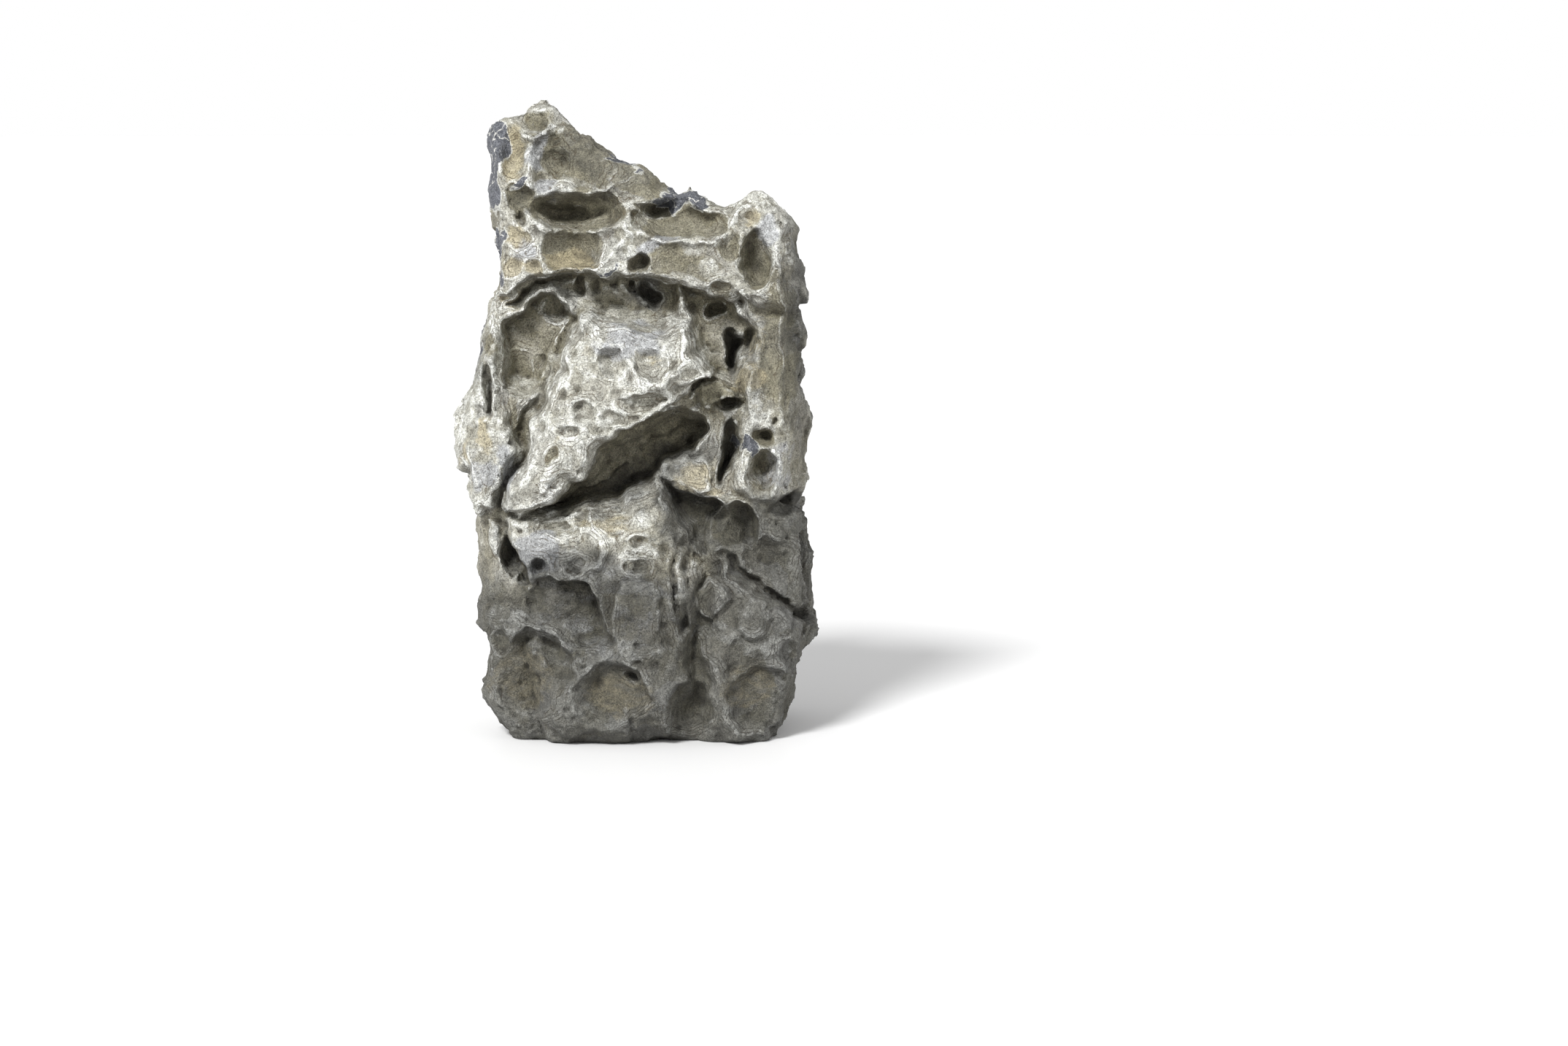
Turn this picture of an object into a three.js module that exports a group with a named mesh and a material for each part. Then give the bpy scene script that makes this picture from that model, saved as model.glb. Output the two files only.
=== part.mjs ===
// A tall seiryu stone: one upright block of grey limestone, eaten by water into ledges, hollows and pits.
//
// Millimetres, +Z up. The face looks along -Y, +X is to its right, and the flat foot stands on Z = 0 with
// the origin under the middle of the stone. The relief of the face is read as outlines, bowls and lines
// in the (x, z) plane, that of the back the same way, and that of the two flanks in the (y, z) plane.
// Together they bound a solid, whose skin is laid over a grid of samples and then thinned.

import * as THREE from 'three';

// Driving dimensions of the body, in front of and behind the plane y = 0
const FACE_REACH = { top: 15, gain: 38, power: 0.62, wrap: 8, foot: 10 };
const BACK_REACH = { top: 11, gain: 34, power: 0.7, wrap: 9, foot: 8, swell: 6 };
const BACK_SWELL = { size: 110, depth: 3, shift: 0.2 };
const HALF_WIDTH = 85;
const EDGE_ROUNDING = 10;
const FOOT_HEIGHT = 26;
const TOP_FLATTENING = 306;

// The flanks: where each is widest, how it swells inwards from there and how deep its own forms cut
const LEFT_SWAY = { reach: 10, pitch: 47, phase: 0.6 };
const RIGHT_SWAY = { reach: 9, pitch: 41, phase: 2.4 };
const WIDEST_BACK = 6;
const SIDE_BLEND = 12;
const FLANK_SWELL = { rate: 0.0038, waver: 0.55, pitch: 33, phase: 4 };
const FLANK_CUT = { gain: 1.5, away: 14, inner: 20, over: 20 };

// The notches of the silhouette, carried backwards. They stay as drawn at the summit and the foot.
const NOTCH_SLANT = { left: -0.21, right: 0.3, sway: 0.1, across: 0.04, up: 0.03, full: 20 };
const NOTCH_FADE = { from: 10, over: 24, blur: [-20, -10, 0, 10, 20] };
const NOTCH_STILL = { summit: 235, over: 20, foot: 30 };

// How far the drawn forms stray from their places, coarsely and finely
const FACE_STRAY = { depth: 0, coarse: 1.5, coarseSize: 24, fine: 0.7, fineSize: 10 };
const BACK_STRAY = { depth: 9, coarse: 1.6, coarseSize: 26, fine: 0.6, fineSize: 10 };
const FLANK_STRAY = { left: 0, right: 20, apart: 5, coarse: 1.5, coarseSize: 24 };

// Thumbprints left by water, in three sizes. The broad ones are kept off the face, whose middle is calmest.
const BROAD = { size: 46, seed: 4, shallow: 0, range: 8, crest: 0.5, across: 1, skew: 0, tall: 0.7, sunk: 1 };
const LARGE = { size: 21, seed: 1, shallow: 0.3, range: 4, crest: 0.7, across: 1, skew: 0, tall: 0.8 };
const MIDDLING = { size: 10.5, seed: 2, shallow: 0.2, range: 2, crest: 0.6, across: 1.1, skew: 0.3, tall: 1 };
const BOWL_STRAY = { reach: 3.2, size: 30 };
const SURFACE_ROLL = { reach: 1.2, size: 40, sunk: 1.2 };
const BEHIND_FACE = { from: -24, over: 30 };
const CALM_FACE = { share: 0.4, rough: 0.7, from: 80, over: 40 };
const BOWL_ROUNDNESS = 1.55;

// Sampling and the finished skin
const GRID_STEP = 2.4;
const REACH = { x: [-94, 96], y: [-92, 86], z: [-4, 306] };
const NOISE_BAND = 9;
const CLOSED_VALUE = -0.1;
const TRIANGLE_BUDGET = 9600;
const POINT_PULL = 0.01;
const LEAST_TURN = 0.3;
const LEAST_FULLNESS = 0.08;
const ON_FLOOR = 1e-6;
const STONE_COLOUR = 0x8d8a7a;
const STONE_ROUGHNESS = 0.85;

// The silhouette seen from the front, clockwise from the left summit, as [x, z]
const OUTLINE = [
  [-57, 293], [-50, 294], [-46, 297], [-43, 299.5], [-40, 300], [-37, 299], [-34, 297], [-31, 293.5],
  [-24, 286], [-16, 280], [-8, 276], [-5, 273.5], [0, 272], [3, 272], [6, 270.5], [12, 265],
  [14, 262.5], [20, 258.5], [23, 257], [26, 258], [28.5, 259.5], [31, 258.5], [37, 255], [39, 252.5],
  [41, 250.5], [45, 250], [51, 252.5], [56, 257.5], [59, 259], [63, 259.5], [66, 258.5], [69, 255],
  [74, 250], [77, 246.5], [79.5, 240], [78, 234], [80, 228], [82.5, 226], [84, 222], [83, 216],
  [84.5, 209.5], [83.5, 207], [80, 206.5], [77, 200.5], [79, 198], [81, 194], [83.8, 189], [83, 184],
  [80, 180], [82.5, 175], [82.8, 171], [79, 163], [79, 161], [83, 157], [85.5, 151], [84.5, 144],
  [84, 130], [86, 118], [83, 108], [84, 96], [86, 84], [85, 72], [87, 60], [87, 49], [83, 38],
  [80, 30], [79, 20], [74, 10], [70, 2], [70, -8], [-60, -8], [-60, 2], [-66, 10], [-71, 19],
  [-72, 28], [-69, 38], [-70, 47], [-74, 56], [-74, 64], [-71, 72], [-73, 80], [-72, 88], [-74, 101],
  [-73, 110], [-78, 120], [-82, 132], [-85, 143], [-85, 149], [-84, 152], [-79, 162], [-76, 172],
  [-75, 184], [-73.5, 194], [-70, 201], [-70.3, 209], [-66.5, 215], [-64, 223], [-63.5, 229],
  [-66, 241], [-67, 250], [-68.5, 256], [-69, 259.5], [-68, 270], [-68, 281], [-66.5, 286],
  [-65, 288.5], [-59, 292.5],
];

// Small helpers
const clamp = (value, low, high) => Math.min(Math.max(value, low), high);
const mix = (a, b, t) => a + (b - a) * t;

function smoothMax(a, b, radius) {
  const overlap = Math.max(radius - Math.abs(a - b), 0) / radius;
  return Math.max(a, b) + overlap * overlap * radius * 0.25;
}

// Distance to a segment, how far along it the nearest point lies, and on which side of it the point is
function toSegment(x, z, [ax, az], [bx, bz]) {
  const ex = bx - ax;
  const ez = bz - az;
  const along = clamp(((x - ax) * ex + (z - az) * ez) / Math.max(ex * ex + ez * ez, 1e-9), 0, 1);
  const dx = x - ax - along * ex;
  const dz = z - az - along * ez;
  return { distance: Math.hypot(dx, dz), along, side: ex * dz - ez * dx >= 0 ? 1 : -1 };
}

// Signed distance to a closed outline, negative inside, with the third value of its points between them
function toOutline(x, z, points) {
  let distance = Infinity;
  let width = 0;
  let inside = false;
  for (let i = 0; i < points.length; i += 1) {
    const a = points[i];
    const b = points[(i + 1) % points.length];
    const near = toSegment(x, z, a, b);
    if (near.distance < distance) {
      distance = near.distance;
      width = mix(a[2] ?? 1, b[2] ?? 1, near.along);
    }
    if ((a[1] <= z) !== (b[1] <= z) && x < mix(a[0], b[0], (z - a[1]) / (b[1] - a[1]))) inside = !inside;
  }
  return { distance: inside ? -distance : distance, width };
}

// Relief forms. Each takes a place and a height of the surface there, and gives the new height.

// A raised block. The third value of a point is how far in its edge slopes; lean tilts the top.
function boss(height, points, { lean = [0, 0], curve = 2 } = {}) {
  const middle = [0, 1].map((axis) => points.reduce((sum, point) => sum + point[axis], 0) / points.length);
  return (x, z, r) => {
    const { distance, width } = toOutline(x, z, points);
    if (distance >= 0) return r;
    const rise = 1 - (1 - Math.min(-distance / width, 1)) ** curve;
    return r + rise * (height + lean[0] * (x - middle[0]) + lean[1] * (z - middle[1]));
  };
}

// A sunken bowl with a crisp rim. Deep is its deepest point, in radii from the middle.
function dish([cx, cz], [rx, rz], depth, { turn = 0, deep = [0, 0] } = {}) {
  const cos = Math.cos(THREE.MathUtils.degToRad(turn));
  const sin = Math.sin(THREE.MathUtils.degToRad(turn));
  const offset = deep[0] ** 2 + deep[1] ** 2;
  return (x, z, r) => {
    const u = ((x - cx) * cos + (z - cz) * sin) / rx - deep[0];
    const v = ((z - cz) * cos - (x - cx) * sin) / rz - deep[1];
    const length = u * u + v * v + 1e-9;
    const lean = deep[0] * u + deep[1] * v;
    const toRim = (Math.sqrt(Math.max(lean * lean + length * (1 - offset), 0)) - lean) / length;
    return toRim <= 1 ? r : r - depth * (1 - 1 / (toRim * toRim));
  };
}

// A crest or a groove along a line of [x, z, half width, height]; left and right scale its two sides.
function line(points, { left = 1, right = 1, curve = 1.5 } = {}) {
  return (x, z, r) => {
    let nearest = { distance: Infinity };
    for (let i = 1; i < points.length; i += 1) {
      const near = toSegment(x, z, points[i - 1], points[i]);
      if (near.distance < nearest.distance) nearest = { ...near, from: points[i - 1], to: points[i] };
    }
    const { distance, along, side, from, to } = nearest;
    const width = mix(from[2], to[2], along) * (side > 0 ? left : right);
    return distance >= width ? r : r + mix(from[3], to[3], along) * (1 - distance / width) ** curve;
  };
}

// The face: its masses first, then the hollows, the pits and last the crests between them
const FACE = {
  upperMass: boss(13, [
    [-74, 206, 4], [-64, 205, 4], [-58, 210, 3], [-50, 214.5, 3], [-42, 218.5, 3], [-32, 220, 3],
    [-20, 219, 3], [-8, 219.5, 3], [4, 219.5, 3], [14, 219, 3], [22, 216, 4], [30, 210, 7],
    [40, 207, 6], [49, 208, 6], [58, 206, 10], [90, 200, 14], [100, 330, 40], [-90, 330, 40],
  ], { lean: [0, -0.05], curve: 1.5 }),
  leftFlank: boss(10, [
    [-80, 215, 6], [-70, 206, 5], [-64, 200, 3], [-61, 190, 3], [-62, 178, 4], [-60, 165, 6],
    [-54, 150, 8], [-50, 138, 8], [-58, 122, 6], [-64, 112, 5], [-72, 106, 6], [-90, 104, 10],
    [-100, 160, 12],
  ], { curve: 1.5 }),
  rightColumn: boss(9, [
    [49, 216, 4], [53, 206, 4], [57, 196, 4], [60, 189, 3], [59, 180, 3], [54, 175, 4], [53, 166, 4],
    [55, 158, 4], [52, 150, 4], [51, 140, 4], [49, 130, 5], [50, 118, 6], [60, 113, 8], [75, 112, 8],
    [100, 110, 12], [100, 220, 14],
  ], { curve: 1.5 }),
  mainBoss: boss(21, [
    [-25, 203, 4], [-20, 204.5, 4], [-12, 200, 4], [0, 198, 4], [10, 196.5, 4], [18, 196.5, 4],
    [23, 200, 4], [27, 199.5, 4], [30, 191, 5], [33, 184, 5], [38, 177, 4], [41.5, 176, 3],
    [41.5, 172, 3], [36, 170.5, 3], [30, 169.5, 3], [28, 165, 4], [22, 160, 4], [15, 156, 3],
    [8, 152.5, 3], [2, 149, 3], [-6, 147, 4], [-12, 141, 6], [-16, 133, 7], [-18, 126, 7],
    [-28, 120, 6], [-38, 113, 5], [-45, 109, 4], [-52, 107, 5], [-60, 109, 5], [-62, 114, 5],
    [-60, 121, 6], [-55, 126, 6], [-51, 133, 6], [-48, 141, 6], [-46, 148, 6], [-44, 155, 6],
    [-41, 163, 6], [-37, 170, 6], [-33, 177, 6], [-32, 184, 5], [-28, 190, 5], [-26, 196, 5],
  ], { lean: [0.03, -0.05], curve: 1.6 }),
  lowerBoss: boss(14, [
    [-60, 107, 6], [-54, 110, 6], [-47, 111, 8], [-40, 108.5, 9], [-33, 109.5, 9], [-22, 111.5, 9],
    [-10, 114, 10], [0, 117.5, 10], [8, 121.5, 9], [14, 125.5, 7], [18, 120, 5], [21, 114, 5],
    [24, 108, 6], [28, 100, 8], [32, 90, 8], [34, 80, 8], [34, 66, 8], [32, 50, 10], [30, 20, 14],
    [0, -20, 14], [-40, -10, 14], [-50, 40, 10], [-50, 60, 8], [-50, 75, 6], [-51, 84, 5],
    [-54, 92, 5], [-58, 100, 5],
  ], { curve: 1.4 }),
  rightBase: boss(7, [
    [44, 92, 8], [50, 84, 6], [58, 76, 5], [66, 71, 5], [76, 62, 5], [88, 54, 6], [100, 40, 8],
    [100, -20, 14], [30, -20, 14], [36, 40, 10], [38, 60, 8], [38, 78, 8],
  ]),
  bossDome: boss(7, [
    [-20, 196, 18], [22, 196, 18], [34, 178, 16], [22, 166, 14], [0, 154, 14], [-14, 144, 16],
    [-24, 128, 18], [-46, 116, 16], [-44, 140, 16], [-34, 170, 16],
  ], { lean: [0.05, -0.05] }),
  lowerDome: boss(5, [
    [-50, 104, 14], [-20, 108, 14], [6, 116, 14], [26, 100, 16], [28, 60, 20], [-44, 60, 20],
  ]),
  hollow: boss(-20, [
    [36, 153.5, 8], [38, 148, 3], [34, 141, 3], [30, 137.5, 3], [24, 134.8, 3], [17, 131, 3],
    [14, 126, 3], [8, 121.5, 3], [0, 117.5, 3], [-10, 114, 3], [-22, 111.5, 3], [-33, 110, 3],
    [-43, 109.5, 4], [-38, 114, 8], [-28, 121, 12], [-19, 127, 16], [-15, 134, 16], [-11, 142, 16],
    [-5, 148, 16], [2, 150.5, 16], [10, 154, 16], [20, 158, 14], [28, 158, 12],
  ], { curve: 1.7 }),
  diagonalHollow: boss(-15, [
    [14.5, 124.5, 3], [20, 122.5, 4], [27, 119.5, 4], [35, 118, 4], [41, 116, 4], [44, 112, 5],
    [46, 104, 10], [44, 94, 12], [36, 90, 10], [29, 96, 7], [24, 105, 5], [20, 113, 4],
  ], { curve: 1.7 }),
  leftPanel: boss(-13, [
    [-62, 190, 3], [-61, 197, 3], [-56, 201.5, 3], [-52, 204, 3], [-49, 207, 3], [-42, 210.5, 3],
    [-36, 211, 3], [-29, 208, 4], [-26, 200, 6], [-28, 190, 8], [-33, 180, 8], [-40, 168, 8],
    [-50, 160, 10], [-59, 166, 8], [-61, 178, 4],
  ], { curve: 1.5 }),
  mouth: boss(-8, [
    [-40, 216, 2.5], [-32, 219.5, 2.5], [-20, 218.8, 2.5], [-8, 219.3, 2.5], [4, 219.3, 2.5],
    [14, 218.7, 2.5], [22, 216, 3], [24, 208, 4], [23, 200.5, 5], [18, 197, 6], [10, 197, 7],
    [0, 198.5, 7], [-12, 201, 7], [-20, 205, 7], [-27, 208, 6], [-34, 212, 4],
  ]),
  rightRecess: boss(-9, [
    [22, 216, 3], [34, 213, 4], [46, 209, 4], [52, 204, 4], [57, 196, 4], [60, 188, 4], [58, 180, 5],
    [54, 174, 5], [50, 170, 5], [42, 172, 4], [37, 178, 4], [33, 185, 4], [30, 192, 4], [28, 199, 4],
    [25, 206, 4],
  ], { curve: 1.5 }),
  lipGroove: line([
    [-59, 205.5, 1.5, -2], [-55, 208, 3, -7], [-50, 211, 3.5, -9], [-45, 214, 3.5, -8],
    [-38, 217, 3, -5], [-30, 218, 2, -2],
  ], { left: 0.8, right: 1.2 }),
  summitBowl: dish([-44, 292.5], [8.5, 4.6], 5, { turn: 18, deep: [0, -0.2] }),
  tanChannel: dish([-54.5, 276], [6.5, 14], 4.5, { turn: -4, deep: [-0.3, 0] }),
  greatFace: dish([-27, 275], [22, 13], 5, { turn: -28, deep: [0.1, -0.3] }),
  greatFaceFold: dish([-38, 268], [6, 13], 4, { turn: -30, deep: [0.2, 0] }),
  roundDish: dish([-50.5, 255.5], [8, 6.7], 5, { deep: [-0.1, 0.2] }),
  roundPit: dish([-51.5, 247.5], [5, 4.2], 5, { deep: [0, -0.2] }),
  eyeSlot: dish([-24, 250.5], [23.5, 10], 18, { turn: -2, deep: [-0.2, -0.25] }),
  eyeSlotDeep: dish([-31, 248.3], [15, 5], 7, { turn: -8, deep: [0, -0.3] }),
  midBowl: dish([-26, 233], [14.5, 13], 9, { deep: [0, -0.35] }),
  leftCup: dish([-53, 238.5], [7, 6], 3, { deep: [0, -0.3] }),
  lowerCup: dish([-54.5, 224.5], [6.5, 5.5], 3),
  lowerCupRight: dish([-44.5, 224], [5, 5], 2.6),
  neckPit: dish([4.5, 226], [4.8, 5.4], 11, { deep: [0, 0.2] }),
  saddleTrough: dish([25, 245.5], [25, 9], 12, { turn: -4, deep: [-0.35, 0.25] }),
  saddleUndercut: dish([12.5, 251.3], [10.5, 3.8], 11, { turn: -8 }),
  greatPit: dish([60, 226.5], [7.8, 13.5], 12, { turn: 3, deep: [-0.35, 0] }),
  peakDish: dish([57, 247], [4.5, 6], 2, { turn: -15 }),
  peakCup: dish([63, 256.5], [3, 2.5], 1.2),
  peakEye: dish([71.5, 243.5], [3, 2.6], 2.5),
  saddleCup: dish([49, 234], [7, 7.5], 3, { turn: -30 }),
  midRightDish: dish([43.5, 212.5], [5.5, 5.3], 6, { deep: [-0.2, 0.2] }),
  midRightPit: dish([41, 203], [5.5, 3.5], 8, { turn: 15 }),
  mouthPit1: dish([-23, 214.5], [2.6, 4.6], 4),
  mouthPit2: dish([-17, 214], [2, 3.6], 3),
  mouthPit3: dish([-8.5, 216], [3.4, 2.6], 3.5),
  mouthPit4: dish([2.2, 214.8], [2.8, 3], 5),
  mouthSlot: dish([10, 210], [3.6, 8.2], 9, { turn: 24, deep: [0, -0.2] }),
  mouthApron: dish([-10, 206], [9, 6], 2),
  flankRibCup: dish([-66, 187], [3.6, 5.2], 3),
  flankSlot: dish([-67, 166.5], [3.6, 14.5], 12, { turn: -2, deep: [0.3, -0.3] }),
  flankCup: dish([-71, 156], [4, 4.5], 3),
  panelDish: dish([-35.5, 201.5], [6, 6], 4, { turn: 20, deep: [0.3, -0.3] }),
  panelLow: dish([-54, 176], [8, 9], 2.5),
  bossDishLeft: dish([-7.5, 181.5], [7.5, 8], 5, { deep: [0, 0.3] }),
  bossDishRight: dish([10.5, 179.5], [8, 9], 5.5, { deep: [-0.4, 0.1] }),
  bossDishFar: dish([24.5, 168], [6, 6.5], 4.5, { turn: -30, deep: [-0.2, 0.3] }),
  bossShelf: dish([8, 163], [14, 4.8], 5, { turn: 4, deep: [0, 0.3] }),
  bossScoop: dish([-19.5, 157.5], [5.5, 6.5], 5, { turn: 20, deep: [-0.2, 0.3] }),
  bossScoopLow: dish([-27.5, 149], [7.5, 3.2], 4, { deep: [0, 0.3] }),
  bossScoopRight: dish([-9, 153], [9, 7], 4, { turn: 25 }),
  bossCup: dish([-36.3, 138], [2.9, 3.6], 2),
  bossHollowFoot: dish([-34, 126], [7, 3.5], 2.5),
  bossFurrow: line([
    [-28, 200, 4, -3], [-33, 188, 5, -5], [-36, 178, 5, -5], [-42, 168, 5, -5], [-48, 156, 5, -4],
    [-52, 142, 5, -4], [-58, 128, 5, -4], [-64, 116, 5, -3],
  ], { left: 1.4, right: 0.5, curve: 1.3 }),
  bossNick: dish([-30, 182], [3, 4.5], 2.5, { turn: 10 }),
  bossCrest: line([
    [-24, 202, 5, 1.5], [-14, 196, 5, 2], [-13, 188, 5, 2.5], [-1, 188, 4, 2], [2, 179, 4, 3],
    [3, 172, 4, 2.5], [8, 169, 4, 2], [15, 172, 4, 1.5],
  ]),
  bossCrestRight: line([
    [25, 199, 4, 1.5], [25, 188, 4, 2], [27, 181, 4, 2.5], [20, 176, 4, 2.5], [17, 172, 4, 2],
  ]),
  slot: dish([46.5, 137], [4.2, 16], 15, { turn: -12, deep: [0.3, -0.1] }),
  longPit: dish([63.5, 127.5], [7.4, 12.8], 16, { turn: -3, deep: [0.1, 0.1] }),
  archPit: dish([63, 145.5], [6, 6], 9, { deep: [0, 0.3] }),
  upperSlot: dish([49.5, 184], [4.2, 11], 14, { turn: 8, deep: [0, -0.3] }),
  upperSlotSide: dish([54.5, 187], [5, 9], 7, { turn: -20 }),
  knot: boss(5, [
    [33, 163, 3], [34, 168, 3], [38, 171, 3], [46, 171, 3], [50, 167, 3], [50, 161, 3], [43, 159, 3],
    [38, 155, 3], [34, 157, 3],
  ]),
  knotShadow: dish([47, 158.5], [7, 3.5], 11, { turn: 10 }),
  rightSmallPit: dish([68.7, 152.7], [1.6, 2.6], 3),
  lowerFacet: boss(3.5, [
    [15.5, 126, 2], [17, 131, 2], [26, 135.3, 2], [35, 136.3, 2], [37.5, 131, 2], [39, 124, 2],
    [40, 119.5, 2], [35, 118.7, 2], [27, 120, 2], [20, 123, 2],
  ], { curve: 1.2 }),
  bowl: dish([51, 102.5], [11.5, 11], 13, { deep: [0.35, 0.3] }),
  bowlLow: dish([56, 97], [5.5, 5.5], 2.5),
  rightUndercut: dish([74, 112], [9, 5.5], 13, { turn: 8 }),
  rightShade: dish([67, 86], [16, 12], 6, { turn: -25 }),
  rightCrack: line([
    [44, 90, 3, -3], [49, 83, 4, -8], [56, 76.5, 4.5, -8], [64, 72, 4.5, -6], [72, 66, 5, -8],
    [80, 58.5, 4.5, -8], [90, 52, 4, -4],
  ]),
  baseCobble: boss(2.5, [
    [51, 62, 2.5], [54, 68, 2.5], [60, 71, 2.5], [66, 68, 2.5], [68, 60, 2.5], [66, 53, 2.5],
    [60, 49, 2.5], [54, 50, 2.5], [51, 55, 2.5],
  ]),
  archHollow: boss(-13, [
    [-48, 76, 5], [-44, 80, 4], [-38, 82, 3], [-33, 80.5, 2.5], [-25, 80.5, 2.5], [-18, 80, 2.5],
    [-14.5, 75, 2.5], [-13.5, 68, 3], [-10, 60, 5], [-8, 50, 9], [-14, 38, 16], [-38, 36, 18],
    [-50, 48, 14], [-51, 66, 9],
  ], { curve: 1.6 }),
  archLip: dish([-26, 86], [6, 4.5], 3),
  leftDarkPit: dish([-42, 84.5], [4, 5], 7),
  underArc: dish([-32, 103], [7.5, 4], 3, { deep: [0, 0.4] }),
  faceScoop: dish([4, 99], [6, 3], 2),
  faceScoopLow: dish([5, 86.5], [7, 4.5], 2.5, { deep: [0, -0.3] }),
  faceScoopRight: dish([17.5, 92], [2.6, 5.5], 2),
  panel: boss(3.5, [
    [-9, 47, 4], [-7.5, 58, 2.5], [-7, 72, 2], [-3, 78, 2], [2, 80, 1.6], [9, 79.3, 1.6],
    [13, 80, 1.6], [15.5, 75, 2], [15, 66, 2], [15.5, 56, 2.5], [18, 46, 4], [12, 38, 7], [-2, 38, 7],
  ], { curve: 1.3 }),
  wedgePanel: boss(3.5, [
    [33, 74, 2], [36, 79.5, 2], [44, 79.5, 2], [47, 76, 2], [49.5, 72, 2], [46, 68, 2], [43, 63, 2],
    [40, 58, 2], [37, 57, 2], [33, 62, 2], [31, 69, 2],
  ], { curve: 1.2 }),
  fissure: dish([25.8, 60], [3.4, 9], 7, { turn: -6 }),
  seam1: line([
    [24, 92, 1.5, -1], [22.5, 86, 2, -3], [21, 78, 2, -3], [20.5, 70, 2, -3], [23, 64, 2, -3],
  ]),
  seam2: line([[29, 92, 1.5, -1], [28.5, 86, 2.5, -4], [27, 80, 2, -3], [28, 74, 2, -3]]),
  pillarRecess: dish([-57, 88], [5, 11], 15, { turn: 4 }),
  pillarRecessLow: dish([-50, 80], [7, 5], 10, { turn: -30 }),
  pillarFacet: boss(3, [
    [-68, 106, 2.5], [-62, 102, 2.5], [-61, 92, 2.5], [-64.5, 87.5, 2.5], [-67, 93, 2.5],
    [-68.5, 99, 2.5],
  ]),
  summitCrest: line([
    [-60, 292, 4, 1.5], [-50, 286, 3.5, 2.5], [-44, 284, 3.5, 3], [-40, 288, 3, 2], [-36, 298, 3, 1],
  ]),
  channelCrest: line([[-46, 284, 3.5, 2], [-46.5, 272, 3.5, 3], [-47, 262, 3.5, 3], [-43, 258, 3, 2]]),
  slateEdge: line([[-66, 290, 4, 1], [-61, 276, 4, 3], [-61, 262, 4, 3], [-58, 258, 3, 2]]),
  faceCrest: line([
    [-43, 262, 3, 1.5], [-30, 262, 3.5, 2.5], [-20, 262, 3.5, 2.5], [-12, 259, 3.5, 2],
    [-4, 264, 3, 1], [4, 268, 3, 1],
  ]),
  brow: line([
    [-58, 244, 3, 1.5], [-52, 241, 4, 2], [-44, 244, 5, 2.5], [-36, 240, 5, 2], [-24, 241, 4, 1],
    [-14, 242, 5, 2.5], [-2, 243, 6, 3], [2, 238, 5, 2],
  ]),
  centreCrest: line([
    [-4, 250, 5, 1.5], [0, 240, 7, 3.5], [-4, 232, 7, 4], [-10, 226, 6, 3.5], [-18, 222, 4, 2],
  ], { curve: 1.3 }),
  saddleCrest: line([
    [6, 240, 4, 2], [18, 237, 4, 2.5], [30, 235, 4, 2.5], [38, 234, 4, 2.5], [44, 240, 4, 3],
    [50, 246, 4, 3], [56, 253, 4, 2],
  ]),
  knobCrest: line([[52, 240, 4, 2], [55, 232, 4, 3], [54, 222, 4, 2], [52, 216, 3, 1]]),
  knobEdge: line([[74, 244, 4, 1], [70, 236, 4, 3], [70, 226, 4, 3], [72, 214, 4, 2], [75, 206, 4, 1]]),
  rightEdge: line([
    [75, 206, 4, 2], [72, 194, 4, 3], [74, 182, 4, 2.5], [70, 172, 4, 3], [71, 160, 4, 2],
    [74, 150, 4, 2],
  ]),
  columnCrest: line([
    [54, 204, 3, 1], [58, 194, 3.5, 3], [60, 184, 3.5, 3], [58, 172, 3.5, 2.5], [56, 164, 3, 2],
    [58, 154, 3, 2], [56, 146, 3, 1],
  ]),
  flankCrest: line([
    [-70, 204, 4, 1], [-66, 196, 4, 3], [-65, 182, 4, 2], [-60, 170, 5, 3], [-58, 152, 6, 3.5],
    [-55, 138, 5, 3], [-62, 120, 5, 2], [-66, 110, 4, 1],
  ], { curve: 1.3 }),
  flankOuterCrest: line([
    [-75, 190, 3, 1], [-73, 176, 3.5, 2.5], [-76, 160, 4, 3], [-78, 146, 5, 3], [-74, 130, 5, 2.5],
    [-70, 116, 5, 1.5],
  ], { curve: 1.3 }),
  bossKeel: line([
    [-26, 192, 5, 1], [-32, 178, 5, 3], [-40, 164, 5, 2.5], [-44, 150, 5, 3], [-46, 138, 5, 2.5],
    [-52, 126, 5, 3], [-58, 114, 4, 2],
  ], { left: 0.7, right: 1.4, curve: 1.3 }),
  bossBrow: line([
    [41, 174, 4, 2], [34, 168, 4, 2.5], [24, 160, 4, 3], [14, 154, 4, 3], [4, 150.5, 4, 3],
    [-6, 148, 4, 3], [-14, 142, 4, 3], [-18, 132, 4, 3], [-26, 122, 4, 3], [-36, 115.5, 4, 3],
    [-48, 110, 4, 2],
  ], { left: 0.6, right: 1.3, curve: 1.3 }),
  lowerBrow: line([
    [-60, 106, 4, 2], [-50, 106, 5, 4], [-38, 106, 5, 4], [-22, 109, 5, 3], [-8, 112, 5, 3.5],
    [6, 118, 4, 3], [14, 124, 3, 2], [20, 114, 4, 2], [27, 102, 4, 3], [32, 92, 4, 2],
  ], { curve: 1.3 }),
  archCrest: line([
    [-18, 108, 4, 2], [-12, 98, 5, 3], [-13, 88, 4, 3], [-20, 84, 3, 2], [-28, 88, 4, 2],
  ]),
  footHollowLeft: dish([-46, 34], [20, 22], 11, { turn: -22, deep: [0.2, 0.4] }),
  footScoop: dish([-8, 26], [19, 15], 9, { turn: 12, deep: [-0.2, 0.45] }),
  footHollowRight: dish([64, 20], [20, 17], 9, { turn: -16, deep: [-0.2, 0.4] }),
  footCup: dish([28, 18], [12, 13], 6, { turn: 20, deep: [0.2, 0.3] }),
  footLedge: line([
    [-80, 60, 6, 2], [-60, 58, 7, 5], [-40, 54, 7, 5], [-22, 46, 6, 4], [-8, 44, 6, 3], [6, 38, 5, 4],
    [16, 26, 6, 4], [18, 8, 8, 5],
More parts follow.
